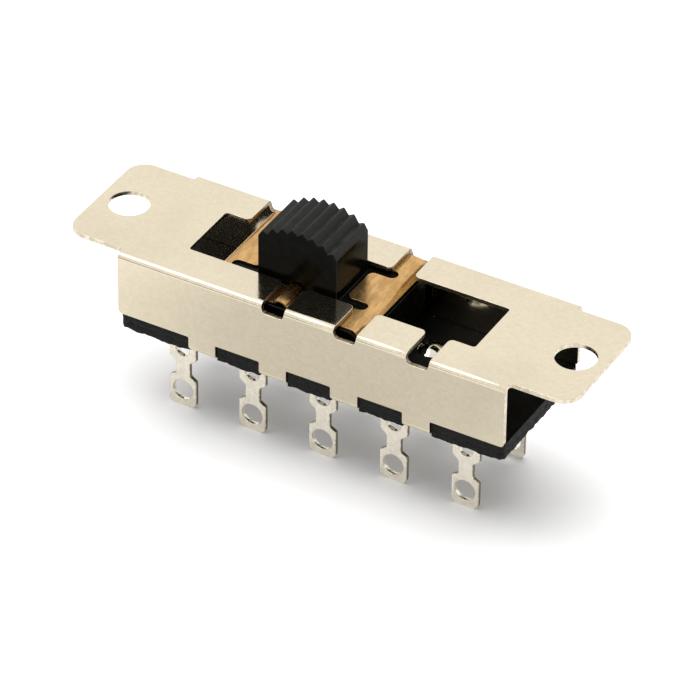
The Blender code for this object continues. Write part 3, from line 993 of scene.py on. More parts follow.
SILVER = Finish(
    MetalSurface(
        "silver_face",
        color=(0.97, 0.91, 0.78),
        cloud_color=(0.82, 0.75, 0.62),
        cloud=0.5 * MM,
        cloud_share=0.6,
        grain_depth=0.001 * MM,
        grain_shade=0.16,
        grain_rough=0.06,
        stroke=(0.03 * MM, 0.03 * MM, 1.5 * MM),
        stroke_shade=0.12,
        roughness=(0.16, 0.24),
        speck=0.4 * MM,
        speck_size=0.09,
    ),
    MetalSurface(
        "silver_shear",
        color=(0.30, 0.25, 0.16),
        cloud_color=(0.12, 0.10, 0.06),
        cloud=0.14 * MM,
        cloud_share=0.8,
        stroke=(0.03 * MM, 0.4 * MM, 0.03 * MM),
        stroke_depth=0.003 * MM,
        stroke_shade=0.3,
        roughness=(0.3, 0.45),
    ),
    MetalSurface(
        "silver_rim",
        color=(0.93, 0.88, 0.77),
        cloud_color=(0.40, 0.34, 0.24),
        cloud=0.24 * MM,
        cloud_share=0.8,
        roughness=(0.18, 0.3),
    ),
)
RIVET = Finish.all_over(
    MetalSurface(
        "rivet_silver",
        color=(0.86, 0.83, 0.76),
        cloud_color=(0.66, 0.62, 0.54),
        cloud=0.4 * MM,
        grain_depth=0.0002 * MM,
        roughness=(0.05, 0.09),
    )
)
BRONZE = Finish(
    MetalSurface(
        "bronze_face",
        color=(0.80, 0.485, 0.195),
        cloud_color=(0.50, 0.28, 0.105),
        speck_color=(0.16, 0.08, 0.035),
        cloud=(0.5 * MM, 1.5 * MM, 0.8 * MM),
        cloud_share=0.7,
        grain_depth=0.001 * MM,
        grain_shade=0.3,
        grain_rough=0.06,
        stroke=(0.06 * MM, 1.8 * MM, 0.07 * MM),
        stroke_depth=0.0012 * MM,
        stroke_shade=0.75,
        roughness=(0.18, 0.28),
        speck=0.35 * MM,
        speck_size=0.09,
    ),
    MetalSurface(
        "bronze_shear",
        color=(0.42, 0.24, 0.11),
        cloud_color=(0.16, 0.085, 0.035),
        cloud=0.2 * MM,
        cloud_share=0.8,
        stroke=(0.03 * MM, 0.03 * MM, 0.4 * MM),
        stroke_depth=0.002 * MM,
        stroke_shade=0.3,
        roughness=(0.3, 0.45),
    ),
    MetalSurface(
        "bronze_rim",
        color=(0.86, 0.60, 0.30),
        cloud_color=(0.36, 0.20, 0.08),
        cloud=0.25 * MM,
        cloud_share=0.8,
        roughness=(0.22, 0.32),
    ),
)
WIRE = Finish.all_over(
    MetalSurface(
        "drawn_wire",
        color=(0.58, 0.57, 0.55),
        cloud_color=(0.36, 0.35, 0.33),
        cloud=0.3 * MM,
        roughness=(0.25, 0.4),
    )
)
NYLON = Finish(
    PlasticSurface(
        "nylon_face",
        color=(0.0028, 0.0031, 0.0024),
        cloud_color=(0.0055, 0.0058, 0.0046),
        cloud=0.8 * MM,
        grain_depth=0.0012 * MM,
        fleck_color=(0.010, 0.010, 0.009),
        roughness=(0.12, 0.18),
        gloss=0.055,
    ),
    PlasticSurface(
        "nylon_ribs",
        color=(0.009, 0.0095, 0.008),
        cloud_color=(0.018, 0.019, 0.017),
        cloud=(0.5 * MM, 0.9 * MM, 0.5 * MM),
        grain=0.07 * MM,
        grain_depth=0.006 * MM,
        fleck_color=(0.04, 0.04, 0.037),
        fleck_share=0.35,
        roughness=(0.42, 0.58),
        gloss=0.22,
    ),
    PlasticSurface(
        "nylon_rim",
        color=(0.008, 0.0085, 0.0075),
        cloud_color=(0.022, 0.023, 0.021),
        cloud=0.25 * MM,
        fleck_color=(0.04, 0.04, 0.037),
        roughness=(0.4, 0.55),
        gloss=0.15,
    ),
)
LAMINATE = Finish(
    PlasticSurface(
        "laminate_face",
        color=(0.004, 0.0042, 0.0036),
        cloud_color=(0.007, 0.0072, 0.0062),
        grain=0.12 * MM,
        grain_depth=0.003 * MM,
        fleck_color=(0.02, 0.02, 0.018),
        roughness=(0.3, 0.45),
        gloss=0.08,
    ),
    PlasticSurface(
        "laminate_edge",
        color=(0.003, 0.0034, 0.003),
        cloud_color=(0.009, 0.0095, 0.0085),
        cloud=(0.3 * MM, 0.3 * MM, 0.14 * MM),
        grain=(0.10 * MM, 0.10 * MM, 0.06 * MM),
        grain_depth=0.05 * MM,
        fleck_color=(0.042, 0.044, 0.04),
        fleck_share=0.5,
        roughness=(0.5, 0.75),
        gloss=0.2,
    ),
    PlasticSurface(
        "laminate_rim",
        color=(0.004, 0.0045, 0.004),
        cloud_color=(0.016, 0.017, 0.015),
        cloud=0.14 * MM,
        grain_depth=0.02 * MM,
        roughness=(0.45, 0.65),
        gloss=0.35,
    ),
)


# ---------------------------------------------------------------- the switch


@dataclass
class Layout:
    """Grid, levels and sheets that the sub-assemblies share."""

    pitch: float = 6.35 * MM
    contacts: int = 5
    positions: int = 4
    row_offset: float = 2.0 * MM
    seat: float = 0.02 * MM
    slide: float = 0.05 * MM
    frame_sheet: float = 0.4 * MM
    tab_width: float = 2.42 * MM
    tab_reach: float = 7.02 * MM
    tab_crimp: float = 0.3 * MM
    plate_drop: float = 0.45 * MM
    plate_sheet: float = 0.2 * MM
    plate_fold: float = 0.8 * MM
    top: float = field(init=False)
    plate_top: float = field(init=False)

    def __post_init__(self) -> None:
        """Read the top of the frame, under which the spring plate lies."""
        self.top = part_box("mounting_frame")[1].z
        self.plate_top = self.top - self.plate_drop

    @property
    def detents(self) -> list[float]:
        """Places of the slider's positions along X."""
        return [(index - (self.positions - 1) / 2) * self.pitch for index in range(self.positions)]

    def notches(self, side: int) -> list[float]:
        """Places of one side's notches: the front lacks the first, the back the last."""
        return self.detents[1:] if side < 0 else self.detents[:-1]


class Assembly:
    """Seats and reports the pieces of one sub-assembly."""

    body = Body.BASE
    slot = Slot.NICKEL

    def seat(self, solid: Solid, node: str) -> bpy.types.Object:
        """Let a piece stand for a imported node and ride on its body.

        Args:
            solid: the finished piece, in place.
            node: the node that it replaces.

        Returns:
            The piece's object.
        """
        piece = solid.obj
        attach(piece, self.body.value)
        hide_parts(node)
        LOG.info("%s stands for %s: %d faces", piece.name, node, len(piece.data.polygons))
        return piece


@dataclass
class FrameShell(Assembly):
    """Folded steel frame with its ears, window, detent notches and crimped tabs."""

    layout: Layout
    fold_radius: float = 0.5 * MM
    channel_length: float = 34.27 * MM
    wall_depth: float = 5.68 * MM
    wall_corner: float = 0.35 * MM
    ear_width: float = 10.9 * MM
    ear_corner: float = 1.65 * MM
    ear_relief: float = 0.22 * MM
    hole: float = 3.35 * MM
    hole_spacing: float = 39.7 * MM
    window: tuple[float, float] = (25.32 * MM, 5.68 * MM)
    window_corner: float = 0.25 * MM
    notch_width: float = 2.0 * MM
    notch_foot: float = 1.7 * MM
    notch_depth: float = 0.9 * MM
    notch_foot_corner: float = 0.3 * MM
    notch_mouth: float = 0.45 * MM
    tab_fillet: float = 0.12 * MM
    rim: float = 0.035 * MM

    def section(self) -> Line:
        """Draw the middle line of the folded section, from one tab's tip to the other's.

        Returns:
            The line's points.
        """
        half_width, half_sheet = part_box("mounting_frame")[1].y, self.layout.frame_sheet / 2
        wall = half_width - half_sheet
        half_diagonal = half_sheet * sqrt(0.5)
        tip = (
            half_width - self.layout.tab_crimp - half_diagonal,
            self.layout.top - self.layout.tab_reach + half_diagonal,
        )
        crimp = (wall, tip[1] + wall - tip[0], self.layout.frame_sheet)
        fold = (wall, self.layout.top - half_sheet, self.fold_radius - half_sheet)
        half: list[Corner] = [fold, crimp, tip]
        return rounded(mirror_image(half) + half, closed=False)

    def blank(self, reach: float) -> Line:
        """Draw the frame's plan: the ears' strap, widened to the full width along the channel.

        Args:
            reach: half the length over the ears.

        Returns:
            The outline's points.
        """
        end, edge = self.channel_length / 2, self.ear_width / 2
        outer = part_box("mounting_frame")[1].y + OVERCUT
        quarter: list[Corner] = [
            (reach, edge, self.ear_corner),
            (end, edge, self.ear_relief),
            (end, outer),
        ]
        half = quarter + mirror_image(quarter)
        return rounded(half + [(across, -along, *rest) for across, along, *rest in reversed(half)])

    def walls(self) -> Line:
        """Draw the side view of the walls with their tabs.

        Returns:
            The outline's points.
        """
        top, foot = self.layout.top, self.layout.top - self.wall_depth
        tip = top - self.layout.tab_reach - OVERCUT
        end = self.channel_length / 2
        corner, outer = foot + self.wall_corner, end + self.ear_width
        corners: list[Corner] = [(-outer, top + OVERCUT), (-outer, corner), (-end, corner)]
        corners.append((-end, foot, self.wall_corner))
        for place in self.layout.detents:
            left, right = place - self.layout.tab_width / 2, place + self.layout.tab_width / 2
            corners += [(left, foot, self.tab_fillet), (left, tip)]
            corners += [(right, tip), (right, foot, self.tab_fillet)]
        corners += [(end, foot, self.wall_corner), (end, corner)]
        return rounded([*corners, (outer, corner), (outer, top + OVERCUT)])

    def opening(self) -> Line:
        """Draw the window with the notches' mouths.

        Returns:
            The outline's points.
        """
        half_length, half_notch = self.window[0] / 2, self.notch_width / 2
        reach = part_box("mounting_frame")[1].y - 2 * self.fold_radius
        corners: list[Corner] = []
        for side in (-1, 1):
            edge, end = side * self.window[1] / 2, side * half_length
            corners.append((end, edge, self.window_corner))
            for place in self.layout.notches(side)[::-side]:
                near, far = place + side * half_notch, place - side * half_notch
                corners += [(near, edge, self.notch_mouth), (near, side * reach)]
                corners += [(far, side * reach), (far, edge, self.notch_mouth)]
            corners.append((-end, edge, self.window_corner))
        return rounded(corners)

    def notch(self, place: float) -> Line:
        """Draw the side view of one notch where it runs down over the fold.

        Args:
            place: its place along X.

        Returns:
            The outline's points.
        """
        half_top, half_foot, top = self.notch_width / 2, self.notch_foot / 2, self.layout.top
        half: list[Corner] = [
            (half_top, top + OVERCUT),
            (half_top, top - self.layout.frame_sheet),
            (half_foot, top - self.notch_depth, self.notch_foot_corner),
        ]
        return rounded([(place + across, *rest) for across, *rest in half + mirror_image(half)])

    def build(self) -> bpy.types.Object:
        """Shape, dress and seat the frame.

        Returns:
            The piece's object.
        """
        low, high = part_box("mounting_frame")
        top, sheet = self.layout.top, self.layout.frame_sheet
        left, right, depth = low.x - OVERCUT, high.x + OVERCUT, high.y + OVERCUT
        shell = Solid.strip("frame_shell", self.section(), Plane.SECTION, left, right, sheet)
        shell.trim(self.blank(high.x), Plane.PLAN, low.z - OVERCUT, top + OVERCUT, Layer.RIM)
        shell.trim(self.walls(), Plane.FRONT, -depth, depth)
        holes = [oval(end * self.hole_spacing / 2, 0, self.hole, self.hole) for end in (-1, 1)]
        foot = top - sheet - self.fold_radius
        shell.cut([self.opening()], Plane.PLAN, foot, top + OVERCUT)
        shell.cut(holes, Plane.PLAN, foot, top + OVERCUT, Layer.RIM)
        inner = high.y - 3 * self.fold_radius
        for side in (-1, 1):
            outlines = [self.notch(place) for place in self.layout.notches(side)]
            shell.cut(outlines, Plane.FRONT, *sorted((side * inner, side * depth)))
        return self.seat(shell.soften(self.rim).dress(NICKEL), "mounting_frame")


@dataclass(frozen=True)
class Stray:
    """How an edge strays along its length: a level, and waves of some amounts and rates."""

    level: float
    waves: tuple[tuple[float, float], ...]

    def at(self, place: Vector) -> float:
        """Stray at a place in millimetres, never below zero."""
        waves = (amount * noise.noise(place * rate) for amount, rate in self.waves)
        return max(0.0, sum(waves, start=self.level))


@dataclass
class BaseBoard(Assembly):
    """Punched laminate board: smooth where the punch sheared it, ragged where it broke off."""

    layout: Layout
    corner: float = 0.5 * MM
    tab_side_gap: float = 0.05 * MM
    wall_inside: float = 5.85 * MM
    rivet_hole: float = 1.4 * MM
    edge_pitch: float = 0.09 * MM
    land: float = 0.4
    rings: int = 13
    groove: float = 0.11 * MM
    groove_level: float = 0.52
    groove_reach: float = 0.14
    groove_drift: float = 0.16
    groove_rate: float = 1.3
    groove_stray: Stray = Stray(0.5, ((0.9, 1.7),))
    break_depth: float = 0.17 * MM
    break_curve: float = 0.6
    flake_level: float = 0.55
    flake_depth: float = 0.45
    flake_rate: float = 1.9
    flake_noise: tuple[float, float, int] = (0.9, 2.0, 4)
    foot_wave: float = 0.26 * MM
    foot_curve: int = 3
    foot_stray: Stray = Stray(0.35, ((0.45, 0.9), (0.4, 2.1)))
    foot_land: float = 0.42 * MM
    rim: float = 0.03 * MM
    slot = Slot.LAMINATE

    def edge_point(
        self, place: Vector, way: Vector, share: float, low: float, high: float
    ) -> Vector:
        """Point of the edge.

        Args:
            place: place on the plan.
            way: direction inwards there.
            share: how far up the edge the point lies, from 0 to 1.
            low: level of the foot.
            high: level of the top.

        Returns:
            The point, set in where the edge is broken or grooved and raised at a wavy foot.
        """
        level = low + (high - low) * share
        along = Vector((place.x, place.y, 0)) / MM
        across = Vector((*place, level)) / MM
        broken = max(0.0, 1 - share / (1 - self.land)) ** self.break_curve
        flakes = noise.fractal(across * self.flake_rate, *self.flake_noise)
        depth = broken * self.break_depth * (self.flake_level + self.flake_depth * flakes)
        drift = self.groove_drift * noise.noise(along * self.groove_rate)
        near = max(0.0, 1 - abs(share + drift - self.groove_level) / self.groove_reach)
        depth += self.groove * near * self.groove_stray.at(along)
        level += (1 - share) ** self.foot_curve * self.foot_stray.at(along) * self.foot_wave
        return Vector((*(place + way * depth), level))

    def slab(self, low: Vector, high: Vector) -> Solid:
        """Shape the board's blank: smooth at the top of its edge, broken towards the foot.

        Args:
            low: lowest corner of the board's box.
            high: its highest corner.

        Returns:
            The blank.
        """
        plan = divided(rectangle(low.x, high.x, low.y, high.y, self.corner), self.edge_pitch)
        around = zip([plan[-1], *plan], [*plan[1:], plan[0]])
        inward = [(after - before).orthogonal().normalized() for before, after in around]
        edge = list(zip(plan, inward))
        rings = [[Vector((*(place + way * self.foot_land), low.z)) for place, way in edge]]
        for step in range(self.rings):
            share = step / (self.rings - 1)
            rings.append([self.edge_point(*spot, share, low.z, high.z) for spot in edge])
        return Solid.stack("laminate_board", rings)

    def bays(self, inner: float) -> list[Line]:
        """Draw the plan rectangles at the tabs, which reach past the edge.

        Args:
            inner: distance off the middle where they start.

        Returns:
            The rectangles.
        """
        half_width = self.layout.tab_width / 2 + self.tab_side_gap
        outer = self.wall_inside + OVERCUT
        return [
            rectangle(place - half_width, place + half_width, near, far)
            for place in self.layout.detents
            for near, far in ((-outer, -inner), (inner, outer))
        ]

    def recesses(self, low: Vector, high: Vector) -> Solid:
        """Shape the tabs' recesses, sloped at the foot where the tabs' tips are crimped.

        Args:
            low: lowest corner of the board's box.
            high: its highest corner.

        Returns:
            The tool that cuts them.
        """
        slide = self.layout.slide
        back, foot = self.wall_inside - slide, low.z - OVERCUT
        bend = self.layout.top - self.layout.tab_reach + self.layout.tab_crimp
        bend += self.layout.frame_sheet * tan(pi / 8) + slide * (sqrt(2) - 1)
        recess: list[Corner] = [
            (back + OVERCUT, high.z + OVERCUT),
            (back, high.z + OVERCUT),
            (back, bend),
            (back - bend + foot, foot),
            (back + OVERCUT, foot),
        ]
        sections = [rounded(recess), rounded(mirror_image(recess))]
        solid = Solid.prism("recesses", sections, Plane.SECTION, low.x, high.x)
        bays = self.bays(self.layout.row_offset)
        sides = Solid.prism("sides", bays, Plane.PLAN, foot - OVERCUT, self.layout.top)
        return solid.combine(sides, Operation.KEEP)

    def build(self) -> bpy.types.Object:
        """Shape, dress and seat the board.

        Returns:
            The piece's object.
        """
        low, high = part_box("base_board")
        count = self.layout.contacts
        holes = [
            oval(
                (index - (count - 1) / 2) * self.layout.pitch,
                side * self.layout.row_offset,
                self.rivet_hole,
                self.rivet_hole,
            )
            for index in range(count)
            for side in (-1, 1)
        ]
        board = self.slab(low, high).cut(holes, Plane.PLAN, low.z - OVERCUT, high.z + OVERCUT)
        board.combine(self.recesses(low, high), Operation.CUT)
        return self.seat(board.soften(self.rim, BLUNT_RIM_ANGLE).dress(LAMINATE), "base_board")


@dataclass
class Contacts(Assembly):
    """Both rows of terminals and the rivets that hold them."""

    layout: Layout
    sheet: float = 0.4 * MM
    fold: float = 0.35 * MM
    blade_offset: float = 1.9 * MM
    overhang: float = 1.15 * MM
    leg_corner: float = 0.9 * MM
    blade_width: float = 2.42 * MM
    neck_width: float = 1.28 * MM
    head_length: float = 2.6 * MM
    head_slope: float = 0.35 * MM
    head_corner: float = 0.5 * MM
    shoulder_corner: float = 0.25 * MM
    neck_corner: float = 0.18 * MM
    neck_length: float = 1.25 * MM
    shoulder_slope: float = 0.45 * MM
    wire_hole: tuple[float, float] = (1.76 * MM, 1.84 * MM)
    wire_hole_level: float = 1.5 * MM
    fold_hole: float = 1.2 * MM
    fold_hole_level: float = 5.45 * MM
    rivet_head: tuple[float, float] = (1.1 * MM, 0.38 * MM)
    rivet_dome: float = 1.3 * MM
    rivet_flange: float = 0.2 * MM
    shank: float = 0.65 * MM
    tail: tuple[float, float] = (0.95 * MM, 0.34 * MM)
    tail_lip: float = 0.35
    tail_bore: tuple[float, float] = (0.38 * MM, 0.9 * MM)
    dome_steps: int = 8
    rivet_steps: int = 40
    rim: float = 0.06 * MM
    slot = Slot.SILVER

    def silhouette(self) -> Line:
        """Draw the front view of a terminal.

        Returns:
            The outline's points.
        """
        edge, neck = self.blade_width / 2, self.neck_width / 2
        neck_top = self.head_length + self.head_slope + self.neck_length
        half: list[Corner] = [
            (edge, self.layout.top),
            (edge, neck_top + self.shoulder_slope, self.shoulder_corner),
            (neck, neck_top, self.neck_corner),
            (neck, self.head_length + self.head_slope, self.neck_corner),
            (edge, self.head_length, self.neck_corner),
            (edge, 0, self.head_corner),
        ]
        return rounded(half + mirror_image(half))

    def terminal(self, name: str, leg_top: float) -> Solid:
        """Shape one terminal about its rivet's axis, as it stands in the front row.

        Args:
            name: name of the piece.
            leg_top: level of its leg's top.

        Returns:
            The terminal.
        """
        wide, level = self.blade_width, leg_top - self.sheet / 2
        blade = -(self.blade_offset - self.sheet / 2)
        turn: list[Corner] = [
            (self.overhang + OVERCUT, level),
            (blade, level, self.fold),
            (blade, -OVERCUT),
        ]
        leg: list[Corner] = [(wide / 2, -2 * wide), (wide / 2, self.overhang, self.leg_corner)]
        path = rounded(turn, closed=False)
        solid = Solid.strip(name, path, Plane.SECTION, -wide, wide, self.sheet)
        solid.trim(self.silhouette(), Plane.FRONT, -2 * wide, wide)
        solid.trim(rounded(leg + mirror_image(leg)), Plane.PLAN, -OVERCUT, self.layout.top)
        holes = [
            oval(0, self.wire_hole_level, *self.wire_hole),
            oval(0, self.fold_hole_level, self.fold_hole, self.fold_hole),
        ]
        solid.cut(holes, Plane.FRONT, -2 * wide, wide, Layer.FACE)
        return solid.soften(self.rim)

    def rivet(self, name: str, seat: float, leg_foot: float) -> Solid:
        """Shape one contact rivet about its own axis, with a domed head and a spun tail.

        Args:
            name: name of the piece.
            seat: level of its head's underside.
            leg_foot: level of the underside of the terminal's leg.

        Returns:
            The rivet.
        """
        radius, height = self.rivet_head
        tail_top = leg_foot - self.layout.seat
        tail_radius, tail_height = self.tail
        bore, bore_depth = self.tail_bore
        tail_foot = tail_top - tail_height
        lean = asin((radius - self.rivet_flange) / self.rivet_dome)
        shares = [step / self.dome_steps for step in range(self.dome_steps + 1)]
        dome = [
            (
                self.rivet_dome * sin(lean * share),
                seat + height - self.rivet_dome * (1 - cos(lean * share)),
            )
            for share in shares
        ]
        roll = [
            (
                bore + (tail_radius - bore) * (0.5 + 0.5 * cos(pi * share)),
                tail_top - tail_height * (self.tail_lip + (1 - self.tail_lip) * sin(pi * share)),
            )
            for share in shares
        ]
        profile = [*dome, (radius, dome[-1][1]), (radius, seat), (self.shank, seat)]
        profile += [(self.shank, tail_top), (tail_radius, tail_top)]
        profile += [*roll, (bore, tail_foot + bore_depth), (0.0, tail_foot + bore_depth)]
        return Solid.turned(name, profile, self.rivet_steps)

    def build(self) -> list[bpy.types.Object]:
        """Shape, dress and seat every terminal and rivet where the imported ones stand.

        Returns:
            The pieces' objects.
        """
        made = []
        for row, side in (("front", -1), ("back", 1)):
            for number in range(1, self.layout.contacts + 1):
                low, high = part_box(f"terminal_{row}_{number}")
                place = ((low.x + high.x) / 2, side * self.layout.row_offset)
                facing = Matrix.Rotation(0 if side < 0 else pi, 4, "Z")
                turn = Matrix.Translation((*place, 0)) @ facing
                terminal = self.terminal(f"solder_lug_{row}_{number}", high.z)
                rivet_low, rivet_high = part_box(f"contact_rivet_{row}_{number}")
                seat = rivet_high.z - self.rivet_head[1]
                rivet = self.rivet(f"rivet_{row}_{number}", seat, high.z - self.sheet)
                pieces = ((terminal, "terminal", SILVER), (rivet, "contact_rivet", RIVET))
                for solid, node, finish in pieces:
                    solid.mesh.transform(turn)
                    made.append(self.seat(solid.dress(finish), f"{node}_{row}_{number}"))
        return made


@dataclass
class SpringPlate(Assembly):
    """Bronze plate on the slider: turned-down ends, slots round the knob and two beads."""

    layout: Layout
    lip_slope: float = radians(56)
    lip_depth: float = 0.75 * MM
    slot_reach: float = 6.0 * MM
    slot_inner: float = 1.9 * MM
    slot_width: float = 1.0 * MM
    tongue: float = 3.9 * MM
    tongue_corner: float = 0.5 * MM
    bead_radius: float = 0.68 * MM
    bead_height: float = 0.4 * MM
    bead_slope: float = radians(62)
    bead_fillet: float = 0.16 * MM
    rim: float = 0.02 * MM
    body = Body.CARRIAGE
    slot = Slot.BRONZE

    def __post_init__(self) -> None:
        """Read the plate's middle, and half its length and width."""
        low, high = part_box("detent_spring")
        self.middle = (low + high) / 2
        self.half = (high - low) / 2

    def path(self) -> Line:
        """Draw the middle line with the bead and the turned-down ends.

        Returns:
            The line's points.
        """
        top, half_sheet = self.layout.plate_top, self.layout.plate_sheet / 2
        end, level = self.half.x - half_sheet, top - half_sheet
        radius = self.bead_radius - half_sheet
        crown = top + self.bead_height - self.bead_radius + radius / cos(self.bead_slope)
        foot = (crown - level) / tan(self.bead_slope)
        bend = end - (level - top + self.lip_depth) / tan(self.lip_slope)
        half: list[Corner] = [
            (foot, level, self.bead_fillet),
            (bend, level, self.layout.plate_fold),
            (end, top - self.lip_depth),
        ]
        return rounded(mirror_image(half) + [(0.0, crown, radius)] + half, closed=False)

    def opening(self) -> Line:
        """Draw the opening round the knob with the four slots.

        Returns:
            The outline's points.
        """
        outer, end = self.slot_inner + self.slot_width, self.slot_width / 2 * FULL_ROUND
        quarter: list[Corner] = [
            (self.tongue, self.slot_inner, self.tongue_corner),
            (self.slot_reach, self.slot_inner, end),
            (self.slot_reach, outer, end),
        ]
        lower = [(across, -along, radius) for across, along, radius in reversed(quarter)]
        half = lower + quarter
        return rounded(half + mirror_image(half))

    def build(self) -> bpy.types.Object:
        """Shape, dress and seat the plate.

        Returns:
            The piece's object.
        """
        width, sheet = self.half.y, self.layout.plate_sheet
        plate = Solid.strip("spring_plate", self.path(), Plane.FRONT, -width, width, sheet)
        low = self.layout.plate_top - OVERCUT - self.lip_depth
        plate.cut([self.opening()], Plane.PLAN, low, self.layout.top + OVERCUT)
        plate.soften(self.rim, BLUNT_RIM_ANGLE).move(self.middle.x, self.middle.y)
        return self.seat(plate.dress(BRONZE), "detent_spring")


@dataclass
class RibbedSlider(Assembly):
    """Moulded slider with its ribbed knob and the pockets for the bridges."""

    layout: Layout
    body_width: float = 10.5 * MM
    body_corner: float = 0.3 * MM
    lip_depth: float = 1.05 * MM
    knob: tuple[float, float] = (7.0 * MM, 4.9 * MM)
    shoulder: float = 3.2 * MM
    crown_radius: float = 5.42 * MM
    ribs: int = 8
    rib_pitch: float = 0.893 * MM
    rib_depth: float = 0.38 * MM
    rib_radius: float = 0.11 * MM
    valley_radius: float = 0.11 * MM / 3
    flank: float = 0.5
    pocket: tuple[float, float, float] = (9.9 * MM, 2.5 * MM, 1.3 * MM)
    bore: tuple[float, float] = (2.3 * MM, 3.0 * MM)
    rim: float = 0.05 * MM
    body = Body.CARRIAGE
    slot = Slot.NYLON

    def __post_init__(self) -> None:
        """Read the slider's place."""
        self.low, self.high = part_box("slider")

    def side_view(self) -> Line:
        """Draw the body's side view, stepped at the ends for the plate's lips.

        Returns:
            The outline's points.
        """
        end = (self.high.x - self.low.x) / 2
        lip_end = end - self.layout.plate_sheet - self.layout.slide
        step = self.layout.plate_top - self.lip_depth - self.layout.slide
        body_top = self.layout.plate_top - self.layout.plate_sheet - self.layout.seat
        half: list[Corner] = [
            (lip_end, body_top, self.layout.plate_fold),
            (lip_end, step),
            (end, step),
            (end, self.low.z, self.body_corner),
        ]
        return rounded(half + mirror_image(half))

    def knob_view(self) -> Line:
        """Draw the knob's side view, with rounded ribs along an arched crown.

        Returns:
            The outline's points.
        """
        crest = self.crown_radius + self.rib_radius * (sqrt(2) - 1)
        top_lean = asin(self.rib_pitch / 2 / self.crown_radius)
        tip = (crest - self.rib_radius * sqrt(2)) * cos(top_lean) + self.rib_radius
        centre = self.high.z - tip
        valley = self.crown_radius - self.rib_depth
        ribs: list[Corner] = []
        for index in range(self.ribs):
            place = ((self.ribs - 1) / 2 - index) * self.rib_pitch
            lean = asin(place / self.crown_radius)
            ribs.append((crest * sin(lean), centre + crest * cos(lean), self.rib_radius))
            dip = asin((place - self.rib_pitch / 2) / valley)
            ribs.append((valley * sin(dip), centre + valley * cos(dip), self.valley_radius))
        right: list[Corner] = [
            (self.knob[0] / 2, self.layout.plate_top - OVERCUT),
            (self.knob[0] / 2, self.layout.top + self.shoulder),
        ]
        return rounded(right + ribs[:-1] + mirror_image(right))

    def build(self) -> bpy.types.Object:
        """Shape, dress and seat the slider.

        Returns:
            The piece's object.
        """
        half, half_knob = self.body_width / 2, self.knob[1] / 2
        body = Solid.prism("ribbed_slider", [self.side_view()], Plane.FRONT, -half, half)
        knob = Solid.prism("knob", [self.knob_view()], Plane.FRONT, -half_knob, half_knob)
        crown = self.layout.top + self.shoulder - self.rim
        for face in knob.mesh.polygons:
            ribbed = face.center.z > crown and abs(face.normal.y) < self.flank
            face.material_index = int(Layer.SHEAR if ribbed else Layer.FACE)
        body.combine(knob, Operation.JOIN)
        length, width, depth = self.pocket
        rows = [side * self.layout.row_offset for side in (-1, 1)]
        pockets = [
            rectangle(-length / 2, length / 2, row - width / 2, row + width / 2, self.body_corner)
            for row in rows
        ]
        bores = [oval(0, row, self.bore[0], self.bore[0]) for row in rows]
        foot = self.low.z - OVERCUT
        body.cut(pockets, Plane.PLAN, foot, self.low.z + depth)
        body.cut(bores, Plane.PLAN, foot, self.low.z + self.bore[1])
        body.soften(self.rim, RIB_RIM_ANGLE).move((self.low.x + self.high.x) / 2)
        return self.seat(body.dress(NYLON), "slider")


@dataclass
class Bridges(Assembly):
    """Sliding bridges with the coil springs that press them on the rivets."""

    layout: Layout
    sheet: float = 0.3 * MM
    foot_drop: float = 0.45 * MM
    foot_length: float = 1.2 * MM
    lip: float = 0.7 * MM
    fold: float = 0.3 * MM
    wire: float = 0.28 * MM
    wire_facets: int = 4
    turns: int = 5
    coil_steps: int = 28
    rim: float = 0.03 * MM
    body = Body.CARRIAGE
    slot = Slot.SILVER

    def path(self, foot_level: float, end: float) -> Line:
        """Draw the middle line of a bridge.

        Args:
            foot_level: level of its feet's undersides.
            end: half its length.

        Returns:
            The line's points.
        """
        low = foot_level + self.sheet / 2
        level = low + self.foot_drop
        foot = self.layout.pitch / 2
        flat, slope = self.foot_length / 2, self.foot_length / 2 + self.foot_drop
        half: list[Corner] = [
            (foot - slope, level, self.fold),
            (foot - flat, low, self.fold),
            (foot + flat, low, self.fold),
            (foot + slope, level, self.fold),
            (end - self.sheet / 2, level, self.fold),
            (end - self.sheet / 2, level + self.lip),
        ]
        return rounded(mirror_image(half) + half, closed=False)

    def coil(self, name: str, low: Vector, high: Vector) -> Solid:
        """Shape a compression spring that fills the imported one's box.

        Args:
            name: name of the piece.
            low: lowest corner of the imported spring's box.
            high: its highest corner.

        Returns:
            The spring.
        """
        middle = (low + high) / 2
        radius = (high.x - low.x - self.wire) / 2
        rise = high.z - low.z - self.wire
        curve = bpy.data.curves.new(name, "CURVE")
        curve.dimensions = "3D"
        curve.bevel_depth = self.wire / 2
        curve.bevel_resolution = self.wire_facets
        curve.use_fill_caps = True
        count = self.turns * self.coil_steps
        spline = curve.splines.new("POLY")
        spline.points.add(count)
        for step, point in enumerate(spline.points):
            angle = 2 * pi * step / self.coil_steps
            level = low.z + self.wire / 2 + rise * step / count
            point.co = (middle.x + radius * cos(angle), middle.y + radius * sin(angle), level, 1)
        return Solid(name, mesh_of_curve(curve))

    def build(self) -> list[bpy.types.Object]:
        """Shape, dress and seat both bridges and both springs.

        Returns:
            The pieces' objects.
        """
        made = []
        for row in ("front", "back"):
            low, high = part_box(f"contact_bridge_{row}")
            middle, half = (low + high) / 2, (high - low) / 2
            path = self.path(low.z, half.x)
            bridge = Solid.strip(f"bridge_{row}", path, Plane.FRONT, -half.y, half.y, self.sheet)
            bridge.soften(self.rim).move(middle.x, middle.y)
            made.append(self.seat(bridge.dress(SILVER), f"contact_bridge_{row}"))
            coil = self.coil(f"coil_{row}", *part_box(f"contact_spring_{row}")).dress(WIRE)
            piece = self.seat(coil, f"contact_spring_{row}")
            made.append(piece)
        return made


# ---------------------------------------------------------------- studio


